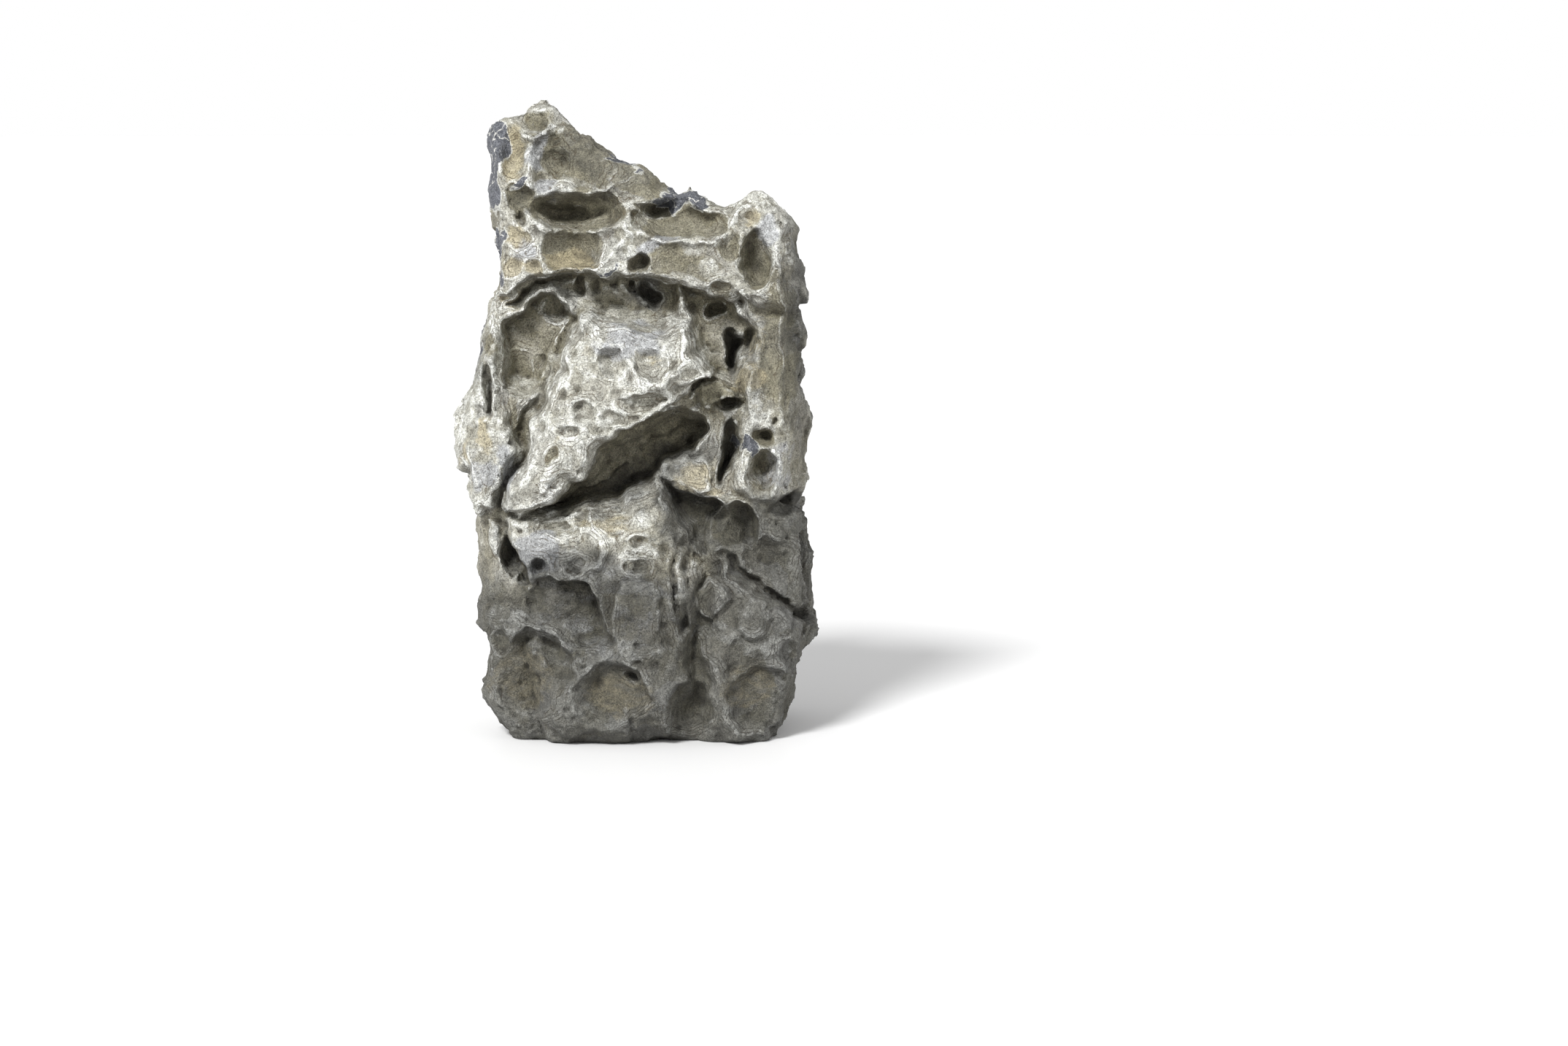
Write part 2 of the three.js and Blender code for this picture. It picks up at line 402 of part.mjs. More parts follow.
  ], { left: 1.4, curve: 1.3 }),
  footRib: line([[34, 50, 5, 2], [42, 38, 7, 5], [46, 22, 8, 5], [52, 4, 9, 6]], { curve: 1.3 }),
  footPit1: dish([-62, 48], [5, 6], 5, { deep: [0, 0.3] }),
  footPit2: dish([2, 34], [5, 4], 4, { deep: [0, 0.3] }),
  footPit3: dish([76, 42], [6, 7], 6, { deep: [0, 0.3] }),
};

// The back, seen from the front, so +X keeps its sense
const BACK = {
  spine: boss(8, [
    [-8, -10, 16], [-2, 40, 14], [-20, 92, 12], [-12, 140, 10], [-30, 190, 12], [-50, 232, 14],
    [-60, 300, 14], [-24, 300, 14], [-12, 240, 12], [14, 206, 9], [30, 160, 10], [34, 116, 12],
    [50, 66, 12], [56, -10, 16],
  ]),
  shoulder: boss(9, [
    [28, 262, 10], [20, 232, 8], [34, 204, 6], [62, 196, 6], [90, 204, 10], [100, 262, 16],
  ]),
  step: boss(8, [
    [-100, 132, 14], [-60, 140, 10], [-20, 128, 8], [4, 134, 8], [34, 120, 10], [60, 116, 8],
    [100, 124, 14], [100, 20, 40], [-100, 20, 40],
  ], { curve: 1.6 }),
  foot: boss(11, [
    [30, -20, 14], [36, 28, 10], [50, 52, 7], [74, 60, 7], [100, 50, 14], [100, -20, 16],
  ]),
  ledge: boss(10, [
    [-100, 118, 12], [-78, 126, 7], [-56, 132, 5], [-44, 122, 5], [-46, 108, 5], [-66, 98, 6],
    [-84, 92, 8], [-100, 90, 14],
  ]),
  plate: boss(7, [
    [-70, 206, 5], [-58, 222, 4], [-38, 218, 4], [-30, 196, 5], [-36, 168, 8], [-56, 158, 8],
    [-70, 172, 6],
  ], { lean: [0.05, -0.1] }),
  hollow: dish([52, 154], [27, 33], 17, { turn: 18, deep: [-0.3, 0.35] }),
  lap: dish([-46, 118], [34, 46], 12, { turn: -24, deep: [0.3, 0.3] }),
  footHollow: dish([-34, 34], [30, 30], 11, { turn: 14, deep: [0.1, 0.5] }),
  slope: dish([34, 248], [30, 20], 8, { turn: -30, deep: [-0.3, -0.3] }),
  hollowDeep: dish([40, 168], [10, 14], 6, { turn: 30, deep: [0, 0.3] }),
  scoop: dish([-58, 60], [17, 24], 9, { turn: -14, deep: [0.3, 0.3] }),
  cup: dish([12, 262], [13, 8], 6, { turn: -24 }),
  cupLow: dish([-8, 84], [9, 15], 5, { turn: 12, deep: [0.2, 0.3] }),
  cupMid: dish([-12, 168], [8, 12], 4.5, { turn: -20 }),
  pit1: dish([60, 232], [9, 7], 6, { deep: [0, 0.3] }),
  pit2: dish([44, 214], [5, 6], 5),
  pit3: dish([-48, 252], [9, 11], 5, { deep: [0.3, 0] }),
  pit4: dish([24, 34], [8, 10], 6, { turn: 20 }),
  pit5: dish([66, 96], [10, 8], 7, { deep: [0, 0.3] }),
  pit6: dish([2, 208], [6, 5], 5),
  pit7: dish([-28, 28], [9, 7], 5),
  crack: line([
    [90, 128, 3, -3], [70, 122, 4, -7], [48, 112, 4, -8], [30, 100, 4, -7], [24, 84, 3, -4],
  ], { left: 1.4 }),
  seam: line([
    [-74, 150, 3, -2], [-60, 146, 4, -6], [-44, 150, 4, -6], [-30, 144, 3, -3],
  ], { right: 1.5 }),
  rib: line([[34, 118, 7, 3], [46, 90, 8, 6], [58, 70, 7, 4], [70, 66, 6, 2]]),
};

// The flanks, as [y, z]
const LEFT_FLANK = {
  hollow: dish([22, 86], [22, 30], 11, { turn: 14, deep: [0.2, 0.3] }),
  scoop: dish([6, 206], [16, 20], 7, { turn: -20, deep: [0, 0.3] }),
  cup1: dish([-22, 150], [9, 13], 5, { turn: 10 }),
  cup2: dish([20, 160], [11, 10], 5, { deep: [0, 0.3] }),
  cup3: dish([4, 262], [9, 12], 4),
  cup4: dish([-18, 40], [12, 15], 6, { deep: [0.3, 0.2] }),
  cup5: dish([26, 24], [10, 9], 5),
  cup6: dish([-14, 96], [7, 10], 4),
  groove: line([
    [-40, 128, 4, -3], [-16, 122, 5, -6], [8, 126, 5, -7], [34, 118, 5, -5],
  ], { right: 1.5 }),
  seam: line([[-20, 240, 3, -2], [-2, 232, 4, -5], [20, 236, 4, -4]], { left: 1.4 }),
};

const RIGHT_FLANK = {
  hollow: dish([16, 130], [22, 24], 9, { turn: -16, deep: [0.2, 0.3] }),
  scoop: dish([-10, 222], [12, 13], 5, { deep: [-0.2, 0.3] }),
  cup1: dish([20, 184], [11, 12], 5, { turn: 20 }),
  cup2: dish([-22, 170], [8, 9], 3.5),
  cup3: dish([-18, 84], [13, 16], 6, { turn: 12, deep: [0.3, 0] }),
  cup4: dish([26, 62], [12, 12], 6, { deep: [0, 0.3] }),
  cup5: dish([-8, 32], [10, 12], 4.5),
  cup6: dish([8, 240], [7, 6], 4),
  groove: line([
    [-44, 108, 4, -3], [-22, 112, 5, -7], [4, 102, 5, -7], [30, 104, 4, -4],
  ], { left: 1.5 }),
  seam: line([[-36, 60, 3, -3], [-14, 54, 4, -6], [10, 60, 4, -5], [32, 48, 3, -3]], { left: 1.5 }),
};

const carve = (forms, x, z, r) => Object.values(forms).reduce((height, form) => form(x, z, height), r);

// Wandering: six waves in skew directions, as [direction, phase]
const WAVE_RATE = 2.2 * Math.PI;
const WAVE_SUM = 3.2;
const WAVE_SPREAD = { least: 0.7, gain: 0.5 };
const WAVES = [
  [[0.31, 0.13, 0.17], 1.3],
  [[-0.11, 0.21, 0.43], 0.4],
  [[0.71, -0.32, 0.53], 4.1],
  [[-0.61, 0.47, 0.83], 2.0],
  [[0.19, 0.57, -0.23], 3.3],
  [[0.43, -0.61, 0.09], 5.9],
].map(([direction, phase]) => {
  const length = Math.hypot(...direction);
  const pace = WAVE_SPREAD.least + length * WAVE_SPREAD.gain;
  return { direction: direction.map((part) => (part / length) * pace), phase };
});

// A smooth number between about -1 and 1 that changes over size millimetres; shift gives another pattern
function wander(x, y, z, size, shift = 0) {
  const rate = WAVE_RATE / size;
  let sum = 0;
  for (const { direction: [a, b, c], phase } of WAVES) {
    sum += Math.sin(rate * (a * x + b * y + c * z) + phase * (1 + shift));
  }
  return sum / WAVE_SUM;
}

// A repeatable whole number for a cell of space
function cellNumber(i, j, k, seed) {
  let bits = Math.imul(i, 73856093) ^ Math.imul(j, 19349663) ^ Math.imul(k, 83492791);
  bits ^= Math.imul(seed, 2654435);
  bits = Math.imul(bits ^ (bits >>> 15), 2246822519);
  bits = Math.imul(bits ^ (bits >>> 13), 3266489917);
  return (bits ^ (bits >>> 16)) >>> 0;
}

// The lowest ten bits of a whole number, as a share from 0 to 1
const share10 = (bits) => (bits & 1023) / 1023;

// One layer of thumbprints: bowls about scattered points that meet in crests. The depth varies by bowl.
function bowls(x, y, z, { size, seed, shallow, range, crest, across, skew, tall }) {
  const px = (x * across + z * skew) / size;
  const py = y / size;
  const pz = (z * tall) / size;
  let nearest = Infinity;
  let share = 0;
  for (let i = Math.floor(px) - 1; i <= Math.floor(px) + 1; i += 1) {
    for (let j = Math.floor(py) - 1; j <= Math.floor(py) + 1; j += 1) {
      for (let k = Math.floor(pz) - 1; k <= Math.floor(pz) + 1; k += 1) {
        const bits = cellNumber(i, j, k, seed);
        const dx = i + share10(bits) - px;
        const dy = j + share10(bits >>> 10) - py;
        const dz = k + share10(bits >>> 20) - pz;
        const square = dx * dx + dy * dy + dz * dz;
        if (square < nearest) {
          nearest = square;
          share = ((bits >>> 5) & 255) / 255;
        }
      }
    }
  }
  return (shallow + range * share) * Math.max(1 - BOWL_ROUNDNESS * nearest, -crest);
}

// How deep water has eaten the surface at a point, beyond the forms above
function weathering(x, y, z) {
  const wx = x + BOWL_STRAY.reach * wander(x, y, z, BOWL_STRAY.size, 0.4);
  const wy = y + BOWL_STRAY.reach * wander(x, y, z, BOWL_STRAY.size, 1.4);
  const wz = z + BOWL_STRAY.reach * wander(x, y, z, BOWL_STRAY.size, 2.4);
  const behindFace = clamp((y - BEHIND_FACE.from) / BEHIND_FACE.over, 0, 1);
  const nearFoot = CALM_FACE.rough * clamp((CALM_FACE.from - z) / CALM_FACE.over, 0, 1);
  const share = mix(CALM_FACE.share, 1, Math.max(behindFace, nearFoot));
  const broad = behindFace * (bowls(wx, wy, wz, BROAD) - BROAD.sunk);
  const roll = SURFACE_ROLL.reach * wander(x, y, z, SURFACE_ROLL.size, 0.2) - SURFACE_ROLL.sunk;
  return roll + broad + share * (bowls(wx, wy, wz, LARGE) + bowls(wx, wy, wz, MIDDLING));
}

// Moves a point of a drawing a little, so that no form keeps a ruled edge. The drawing lies at one depth.
function stray(x, z, { depth, coarse, coarseSize, fine, fineSize }) {
  const across = coarse * wander(x, depth, z, coarseSize) + fine * wander(x, depth, z, fineSize, 0.3);
  const up = coarse * wander(x, depth, z, coarseSize, 0.7) + fine * wander(x, depth, z, fineSize, 1.1);
  return [x + across, z + up];
}

// How far the stone reaches towards the viewer, and away from the viewer, from the plane y = 0
function faceReach(x, z) {
  const [wx, wz] = stray(x, z, FACE_STRAY);
  const rise = Math.max(1 - z / TOP_FLATTENING, 0) ** FACE_REACH.power;
  const tuck = clamp(1 - z / FOOT_HEIGHT, 0, 1) ** 2;
  const plain = FACE_REACH.top + FACE_REACH.gain * rise
    - FACE_REACH.wrap * Math.abs(x / HALF_WIDTH) ** 4 - FACE_REACH.foot * tuck;
  return carve(FACE, wx, wz, plain);
}

function backReach(x, z) {
  const [wx, wz] = stray(x, z, BACK_STRAY);
  const rise = Math.max(1 - z / TOP_FLATTENING, 0) ** BACK_REACH.power;
  const tuck = clamp(1 - z / FOOT_HEIGHT, 0, 1) ** 2;
  const swell = BACK_REACH.swell * wander(x, BACK_SWELL.depth, z, BACK_SWELL.size, BACK_SWELL.shift);
  const plain = BACK_REACH.top + BACK_REACH.gain * rise + swell
    - BACK_REACH.wrap * (x / HALF_WIDTH) ** 2 - BACK_REACH.foot * tuck;
  return carve(BACK, wx, wz, plain);
}

// How deep the forms of a flank cut into it. Each flank strays after its own pattern, read at its own x.
function flankCut(forms, x, y, z) {
  const across = FLANK_STRAY.coarse * wander(x, y, z, FLANK_STRAY.coarseSize);
  const up = FLANK_STRAY.coarse * wander(x + FLANK_STRAY.apart, y, z, FLANK_STRAY.coarseSize);
  return -carve(forms, y + across, z + up, 0);
}

// How far the widest line of a flank sways forwards or backwards at a height
const sway = (z, { reach, pitch, phase }) => reach * Math.sin(z / pitch + phase);

// A regular row of samples from low to high
function samples([low, high], step) {
  return Array.from({ length: Math.ceil((high - low) / step) }, (_, index) => low + index * step);
}

// A function of two coordinates, worked out once on its grid and read between its rows
class Sheet {
  constructor(columns, rows, fill) {
    this.rows = rows;
    this.values = columns.map((u) => Float64Array.from(rows, (v) => fill(u, v)));
  }

  // Reads column i at any height v
  between(i, v) {
    const last = this.rows.length - 1;
    const at = clamp((v - this.rows[0]) / (this.rows[1] - this.rows[0]), 0, last - 1e-3);
    const k = Math.floor(at);
    return mix(this.values[i][k], this.values[i][k + 1], at - k);
  }
}

// The solid as samples of a field that is negative inside the stone
class StoneField {
  constructor(step) {
    this.step = step;
    this.xs = samples(REACH.x, step);
    this.ys = samples(REACH.y, step);
    this.zs = samples([-4 * step, REACH.z[1]], step);
    this.size = [this.xs.length, this.ys.length, this.zs.length];
    this.origin = [this.xs[0], this.ys[0], this.zs[0]];
    this.values = new Float32Array(this.xs.length * this.ys.length * this.zs.length);
    this.fill();
    this.closeDiagonals();
  }

  index(i, j, k) {
    return (i * this.ys.length + j) * this.zs.length + k;
  }

  fill() {
    const face = new Sheet(this.xs, this.zs, faceReach);
    const back = new Sheet(this.xs, this.zs, backReach);
    const rim = new Sheet(this.xs, this.zs, (x, z) => toOutline(x, z, OUTLINE).distance);
    const left = new Sheet(this.ys, this.zs, (y, z) => flankCut(LEFT_FLANK, FLANK_STRAY.left, y, z));
    const right = new Sheet(this.ys, this.zs, (y, z) => flankCut(RIGHT_FLANK, FLANK_STRAY.right, y, z));
    this.xs.forEach((x, i) => {
      const side = 1 / (1 + Math.exp(-x / SIDE_BLEND));
      this.ys.forEach((y, j) => {
        this.zs.forEach((z, k) => {
          const away = y + WIDEST_BACK + mix(sway(z, LEFT_SWAY), sway(z, RIGHT_SWAY), side);
          const edge = this.edge(rim, i, k, away);
          const waver = 1 + FLANK_SWELL.waver * Math.sin(z / FLANK_SWELL.pitch + FLANK_SWELL.phase * side);
          const swell = FLANK_SWELL.rate * waver * away * away;
          const cut = FLANK_CUT.gain * mix(left.values[j][k], right.values[j][k], side)
            * clamp(Math.abs(away) / FLANK_CUT.away, 0, 1)
            * clamp((Math.abs(x) - FLANK_CUT.inner) / FLANK_CUT.over, 0, 1);
          const slab = smoothMax(-y - face.values[i][k], y - back.values[i][k], EDGE_ROUNDING);
          let value = smoothMax(slab, edge + swell + cut, EDGE_ROUNDING);
          if (Math.abs(value) < NOISE_BAND) value += weathering(x, y, z);
          this.values[this.index(i, j, k)] = Math.max(value, -z);
        });
      });
    });
  }

  // How far column i at height k lies outside the silhouette, at a distance behind or before the widest line
  edge(rim, i, k, away) {
    const x = this.xs[i];
    const z = this.zs[k];
    const lean = (x > 0 ? NOTCH_SLANT.right : NOTCH_SLANT.left)
      + NOTCH_SLANT.sway * Math.sin(x * NOTCH_SLANT.across + z * NOTCH_SLANT.up);
    const height = z + lean * away * clamp(Math.abs(away) / NOTCH_SLANT.full, 0, 1);
    const { blur } = NOTCH_FADE;
    const notched = rim.between(i, height);
    const plain = blur.reduce((sum, rise) => sum + rim.between(i, height + rise), 0) / blur.length;
    const faded = mix(notched, plain, clamp((Math.abs(away) - NOTCH_FADE.from) / NOTCH_FADE.over, 0, 1));
    const nearSummit = clamp((z - NOTCH_STILL.summit) / NOTCH_STILL.over, 0, 1);
    const nearFoot = clamp(1 - z / NOTCH_STILL.foot, 0, 1);
    return mix(faded, rim.values[i][k], Math.max(nearSummit, nearFoot));
  }

  // Fills samples where the stone would touch itself only across a diagonal, so the skin is one sheet
  closeDiagonals() {
    const [nx, ny, nz] = this.size;
    const steps = [this.index(1, 0, 0), this.index(0, 1, 0), 1];
    const cell = Array.from({ length: 8 }, (_, bits) =>
      (bits & 1) * steps[0] + ((bits >> 1) & 1) * steps[1] + (bits >> 2) * steps[2]);
    const faces = [[0, 1], [1, 2], [2, 0]].map(([u, v]) => [0, steps[u], steps[v], steps[u] + steps[v]]);
    const solid = (at) => this.values[at] < 0;
    const splitFace = (at, [a, b, c, d]) =>
      solid(at + a) === solid(at + d) && solid(at + b) === solid(at + c) && solid(at + a) !== solid(at + b);
    const splitCell = (at, count) =>
      (count === 2 || count === 6)
      && [0, 1, 2, 3].some((n) => solid(at + cell[n]) === (count === 2)
        && solid(at + cell[7 - n]) === (count === 2));
    let changed = true;
    const close = (at, corners) => {
      for (const corner of corners) {
        this.values[at + corner] = Math.min(this.values[at + corner], CLOSED_VALUE);
      }
      changed = true;
    };
    while (changed) {
      changed = false;
      for (let i = 0; i < nx - 1; i += 1) {
        for (let j = 0; j < ny - 1; j += 1) {
          for (let k = 0; k < nz - 1; k += 1) {
            const at = this.index(i, j, k);
            const count = cell.reduce((sum, corner) => sum + (solid(at + corner) ? 1 : 0), 0);
            if (count > 0 && count < 8) {
              if (splitCell(at, count)) close(at, cell);
              for (const face of faces) {
                if (splitFace(at, face)) close(at, face);
              }
            }
          }
        }
      }
    }
  }
}

// Lays one point in each cell that the surface crosses and joins the points round each crossed sample edge
function layNet(field) {
  const [nx, ny, nz] = field.size;
  const { values, step, origin } = field;
  const steps = [field.index(1, 0, 0), field.index(0, 1, 0), 1];
  const netPoint = new Int32Array(values.length).fill(-1);
  const points = [];
  const triangles = [];
  const crossing = (from, to) => (values[from] < 0) !== (values[to] < 0);

  for (let i = 0; i < nx - 1; i += 1) {
    for (let j = 0; j < ny - 1; j += 1) {
      for (let k = 0; k < nz - 1; k += 1) {
        const at = field.index(i, j, k);
        const sum = [0, 0, 0];
        let count = 0;
        for (let axis = 0; axis < 3; axis += 1) {
          const u = (axis + 1) % 3;
          const v = (axis + 2) % 3;
          for (let corner = 0; corner < 4; corner += 1) {
            const cu = corner & 1;
            const cv = corner >> 1;
            const from = at + cu * steps[u] + cv * steps[v];
            const to = from + steps[axis];
            if (crossing(from, to)) {
              sum[axis] += values[from] / (values[from] - values[to]);
              sum[u] += cu;
              sum[v] += cv;
              count += 1;
            }
          }
        }
        if (count > 0) {
          netPoint[at] = points.length;
          const [x, y, z] = [i, j, k].map((cell, axis) => origin[axis] + (cell + sum[axis] / count) * step);
          points.push(new THREE.Vector3(x, y, z));
        }
      }
    }
  }

  for (let i = 1; i < nx - 1; i += 1) {
    for (let j = 1; j < ny - 1; j += 1) {
      for (let k = 1; k < nz - 1; k += 1) {
        const at = field.index(i, j, k);
        for (let axis = 0; axis < 3; axis += 1) {
          if (crossing(at, at + steps[axis])) {
            const u = steps[(axis + 1) % 3];
            const v = steps[(axis + 2) % 3];
            const quad = [at - u - v, at - v, at, at - u].map((cell) => netPoint[cell]);
            if (values[at] >= 0) quad.reverse();
            const [a, b, c, d] = quad;
            const acrossAC = points[a].distanceToSquared(points[c]) < points[b].distanceToSquared(points[d]);
            if (acrossAC) triangles.push([a, b, c], [a, c, d]);
            else triangles.push([a, b, d], [b, c, d]);
          }
        }
      }
    }
  }
  return { points, triangles };
}

// A heap that gives back its cheapest entry first
class CheapestFirst {
  entries = [];

  push(entry) {
    const { entries } = this;
    let at = entries.push(entry) - 1;
    while (at > 0) {
      const parent = (at - 1) >> 1;
      if (entries[parent].cost <= entries[at].cost) break;
      [entries[parent], entries[at]] = [entries[at], entries[parent]];
      at = parent;
    }
  }

  pop() {
    const { entries } = this;
    const first = entries[0];
    const last = entries.pop();
    if (entries.length > 0) {
      entries[0] = last;
      let at = 0;
      for (;;) {
        let least = at;
        for (const child of [2 * at + 1, 2 * at + 2]) {
          if (child < entries.length && entries[child].cost < entries[least].cost) least = child;
        }
        if (least === at) break;
        [entries[least], entries[at]] = [entries[at], entries[least]];
        at = least;
      }
    }
    return first;
  }
}

// The squared distance to a set of planes, as a matrix A, a vector b and a number c
class PlaneSum {
  constructor() {
    this.a = new Float64Array(6);
    this.b = new THREE.Vector3();
    this.c = 0;
  }

  addPlane(normal, offset, weight) {
    const { x, y, z } = normal;
    [x * x, x * y, x * z, y * y, y * z, z * z].forEach((part, n) => {
      this.a[n] += weight * part;
    });
    this.b.addScaledVector(normal, weight * offset);
    this.c += weight * offset * offset;
  }

  // A light pull to a point keeps the answer single where all the planes are parallel
  addPoint(point, weight) {
    this.a[0] += weight;
    this.a[3] += weight;
    this.a[5] += weight;
    this.b.addScaledVector(point, -weight);
    this.c += weight * point.lengthSq();
  }

  plus(other) {
    const sum = new PlaneSum();
    sum.a = this.a.map((part, n) => part + other.a[n]);
    sum.b.addVectors(this.b, other.b);
    sum.c = this.c + other.c;
    return sum;
  }

  best() {
    const [xx, xy, xz, yy, yz, zz] = this.a;
    const inverse = new THREE.Matrix3(xx, xy, xz, xy, yy, yz, xz, yz, zz).invert();
    return this.b.clone().negate().applyMatrix3(inverse);
  }

  at({ x, y, z }) {
    const [xx, xy, xz, yy, yz, zz] = this.a;
    const square = xx * x * x + yy * y * y + zz * z * z + 2 * (xy * x * y + xz * x * z + yz * y * z);
    return square + 2 * (this.b.x * x + this.b.y * y + this.b.z * z) + this.c;
  }
}

// Thins a closed skin: the edge whose closing changes the shape least goes first
class Thinning {
  constructor({ points, triangles }) {
    this.points = points;
    this.triangles = triangles;
    this.count = triangles.length;
    this.around = points.map(() => new Set());
    this.planes = points.map(() => new PlaneSum());
    this.version = new Uint32Array(points.length);
    this.queue = new CheapestFirst();
    triangles.forEach((corners, index) => {
      const { normal, area } = this.facing(corners.map((corner) => points[corner]));
      const offset = -normal.dot(points[corners[0]]);
      for (const corner of corners) {
        this.around[corner].add(index);
        this.planes[corner].addPlane(normal, offset, area);
        this.planes[corner].addPoint(points[corner], area * POINT_PULL);
      }
    });
    points.forEach((_, point) => {
      for (const other of this.neighbours(point)) {
        if (other > point) this.offer(point, other);
      }
    });
  }

  facing([a, b, c]) {
    const normal = b.clone().sub(a).cross(c.clone().sub(a));
    const area = normal.length() / 2;
    const longest = Math.max(a.distanceToSquared(b), b.distanceToSquared(c), c.distanceToSquared(a));
    return { normal: normal.normalize(), area, fullness: area / Math.max(longest, 1e-12) };
  }

  neighbours(point) {
    const found = new Set();
    for (const index of this.around[point]) {
      for (const corner of this.triangles[index]) found.add(corner);
    }
    found.delete(point);
    return found;
  }

  offer(a, b) {
    const planes = this.planes[a].plus(this.planes[b]);
    const target = planes.best();
    const onFoot = Math.min(this.points[a].z, this.points[b].z) < ON_FLOOR;
    target.z = onFoot ? 0 : Math.max(target.z, 0);
    this.queue.push({ cost: planes.at(target), a, b, target, planes, stamp: this.stamp(a, b) });
  }

  stamp(a, b) {
    return `${this.version[a]} ${this.version[b]}`;
  }

  // Closing an edge must leave one sheet, turn no triangle over and make none a sliver
  allowed({ a, b, target }) {
    const near = this.neighbours(a);
    const shared = [...this.neighbours(b)].filter((other) => near.has(other));
    if (shared.length !== 2) return false;
    for (const [point, other] of [[a, b], [b, a]]) {
      for (const index of this.around[point]) {
        const corners = this.triangles[index];
        if (!corners.includes(other)) {
          const places = corners.map((corner) => this.points[corner]);
          const before = this.facing(places);
          const after = this.facing(places.map((place) => (place === this.points[point] ? target : place)));
          if (before.normal.dot(after.normal) < LEAST_TURN) return false;
          if (after.fullness < LEAST_FULLNESS && after.fullness < before.fullness) return false;
        }
      }
    }
    return true;
  }

  close({ a, b, target, planes }) {
    for (const index of [...this.around[b]]) {
      const corners = this.triangles[index];
      if (corners.includes(a)) {
        for (const corner of corners) this.around[corner].delete(index);
        this.triangles[index] = null;
        this.count -= 1;
      } else {
        this.triangles[index] = corners.map((corner) => (corner === b ? a : corner));
        this.around[a].add(index);
      }
    }
    this.around[b].clear();
    this.points[a].copy(target);
    this.planes[a] = planes;
    this.version[a] += 1;
    this.version[b] += 1;
    for (const other of this.neighbours(a)) this.offer(a, other);
  }

  run(budget) {
    while (this.count > budget && this.queue.entries.length > 0) {
      const edge = this.queue.pop();
      if (edge.stamp === this.stamp(edge.a, edge.b) && this.allowed(edge)) this.close(edge);
    }
    return this.triangles.filter(Boolean);
  }
}

function makeStoneGeometry() {
  const net = layNet(new StoneField(GRID_STEP));
  const triangles = new Thinning(net).run(TRIANGLE_BUDGET);
  const used = [...new Set(triangles.flat())];
  const newIndex = new Map(used.map((point, index) => [point, index]));
  const geometry = new THREE.BufferGeometry().setFromPoints(used.map((point) => net.points[point]));
  geometry.setIndex(triangles.flat().map((point) => newIndex.get(point)));
  geometry.computeVertexNormals();
  geometry.computeBoundingBox();
  return geometry;
}

function makeStone() {
  const material = new THREE.MeshStandardMaterial({
    color: STONE_COLOUR,
    roughness: STONE_ROUGHNESS,
    metalness: 0,
    flatShading: true,
  });
  const stone = new THREE.Mesh(makeStoneGeometry(), material);
  stone.name = 'seiryu_stone';
  const middle = stone.geometry.boundingBox.getCenter(new THREE.Vector3());
  stone.position.set(-middle.x, -middle.y, 0);
  return stone;
}

const model = new THREE.Group();
model.add(makeStone());

export default model;
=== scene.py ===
"""The finished look of a seiryu stone: one tall block of weathered grey limestone on a pale floor.

The stone's skin is laid anew, at a fine step, over the same bosses, hollows, pits and crests that its
solid is made of. Fine weathering follows the surface, and the colours of the stone are placed on it.
Lengths inside the stone's forms are in millimetres; meshes, lights and the camera are in metres.
"""

import logging
import math
from abc import ABC, abstractmethod
from dataclasses import dataclass, field
from enum import Enum
from itertools import product
from typing import ClassVar, TypeAlias

import bmesh
import bpy
import numpy as np
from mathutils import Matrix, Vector


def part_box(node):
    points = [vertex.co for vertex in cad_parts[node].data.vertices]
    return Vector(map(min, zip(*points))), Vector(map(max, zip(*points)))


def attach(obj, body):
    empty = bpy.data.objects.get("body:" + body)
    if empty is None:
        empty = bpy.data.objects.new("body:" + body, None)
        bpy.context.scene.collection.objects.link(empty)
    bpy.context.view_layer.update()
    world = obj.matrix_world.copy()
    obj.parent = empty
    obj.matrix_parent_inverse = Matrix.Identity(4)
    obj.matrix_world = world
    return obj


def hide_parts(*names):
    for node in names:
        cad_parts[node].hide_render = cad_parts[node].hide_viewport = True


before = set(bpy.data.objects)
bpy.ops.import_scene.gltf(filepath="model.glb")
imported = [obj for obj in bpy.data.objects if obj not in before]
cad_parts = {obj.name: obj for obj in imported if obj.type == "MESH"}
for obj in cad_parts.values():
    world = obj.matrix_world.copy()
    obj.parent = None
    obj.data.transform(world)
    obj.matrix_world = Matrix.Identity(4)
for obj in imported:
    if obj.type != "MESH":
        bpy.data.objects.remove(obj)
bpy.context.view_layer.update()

log = logging.getLogger("seiryu_stone")

STONE_NODE = "seiryu_stone"

Array = np.ndarray
Pair = tuple[float, float]
Triple = tuple[float, float, float]
Colour = tuple[float, float, float, float]
Box = tuple[float, float, float, float]
Operand: TypeAlias = "Value | float"
Paint: TypeAlias = "Value | Colour"

MM_PER_METRE = 1000.0

# The corners of a cell of a grid, and the steps to the cells about it
CORNERS = tuple(product((0, 1), repeat=3))
NEIGHBOURS = tuple(product((-1, 0, 1), repeat=3))

# How far before the end of a grid the last place lies that has samples on both sides
GRID_END = 1.001

# Keeps what divides from being 0
TINY = 1e-9


class Tone(Enum):
    """A colour that the stone shows in placed patches; SHADE is painted shade."""

    PALE = "pale"
    OLIVE = "olive"
    OCHRE = "ochre"
    SLATE = "slate"
    BLUE = "blue"
    # Painted shade: darkness laid into the colour in hollows, under overhangs, on sides turned from the
    # light and low on the stone
    SHADE = "shade"


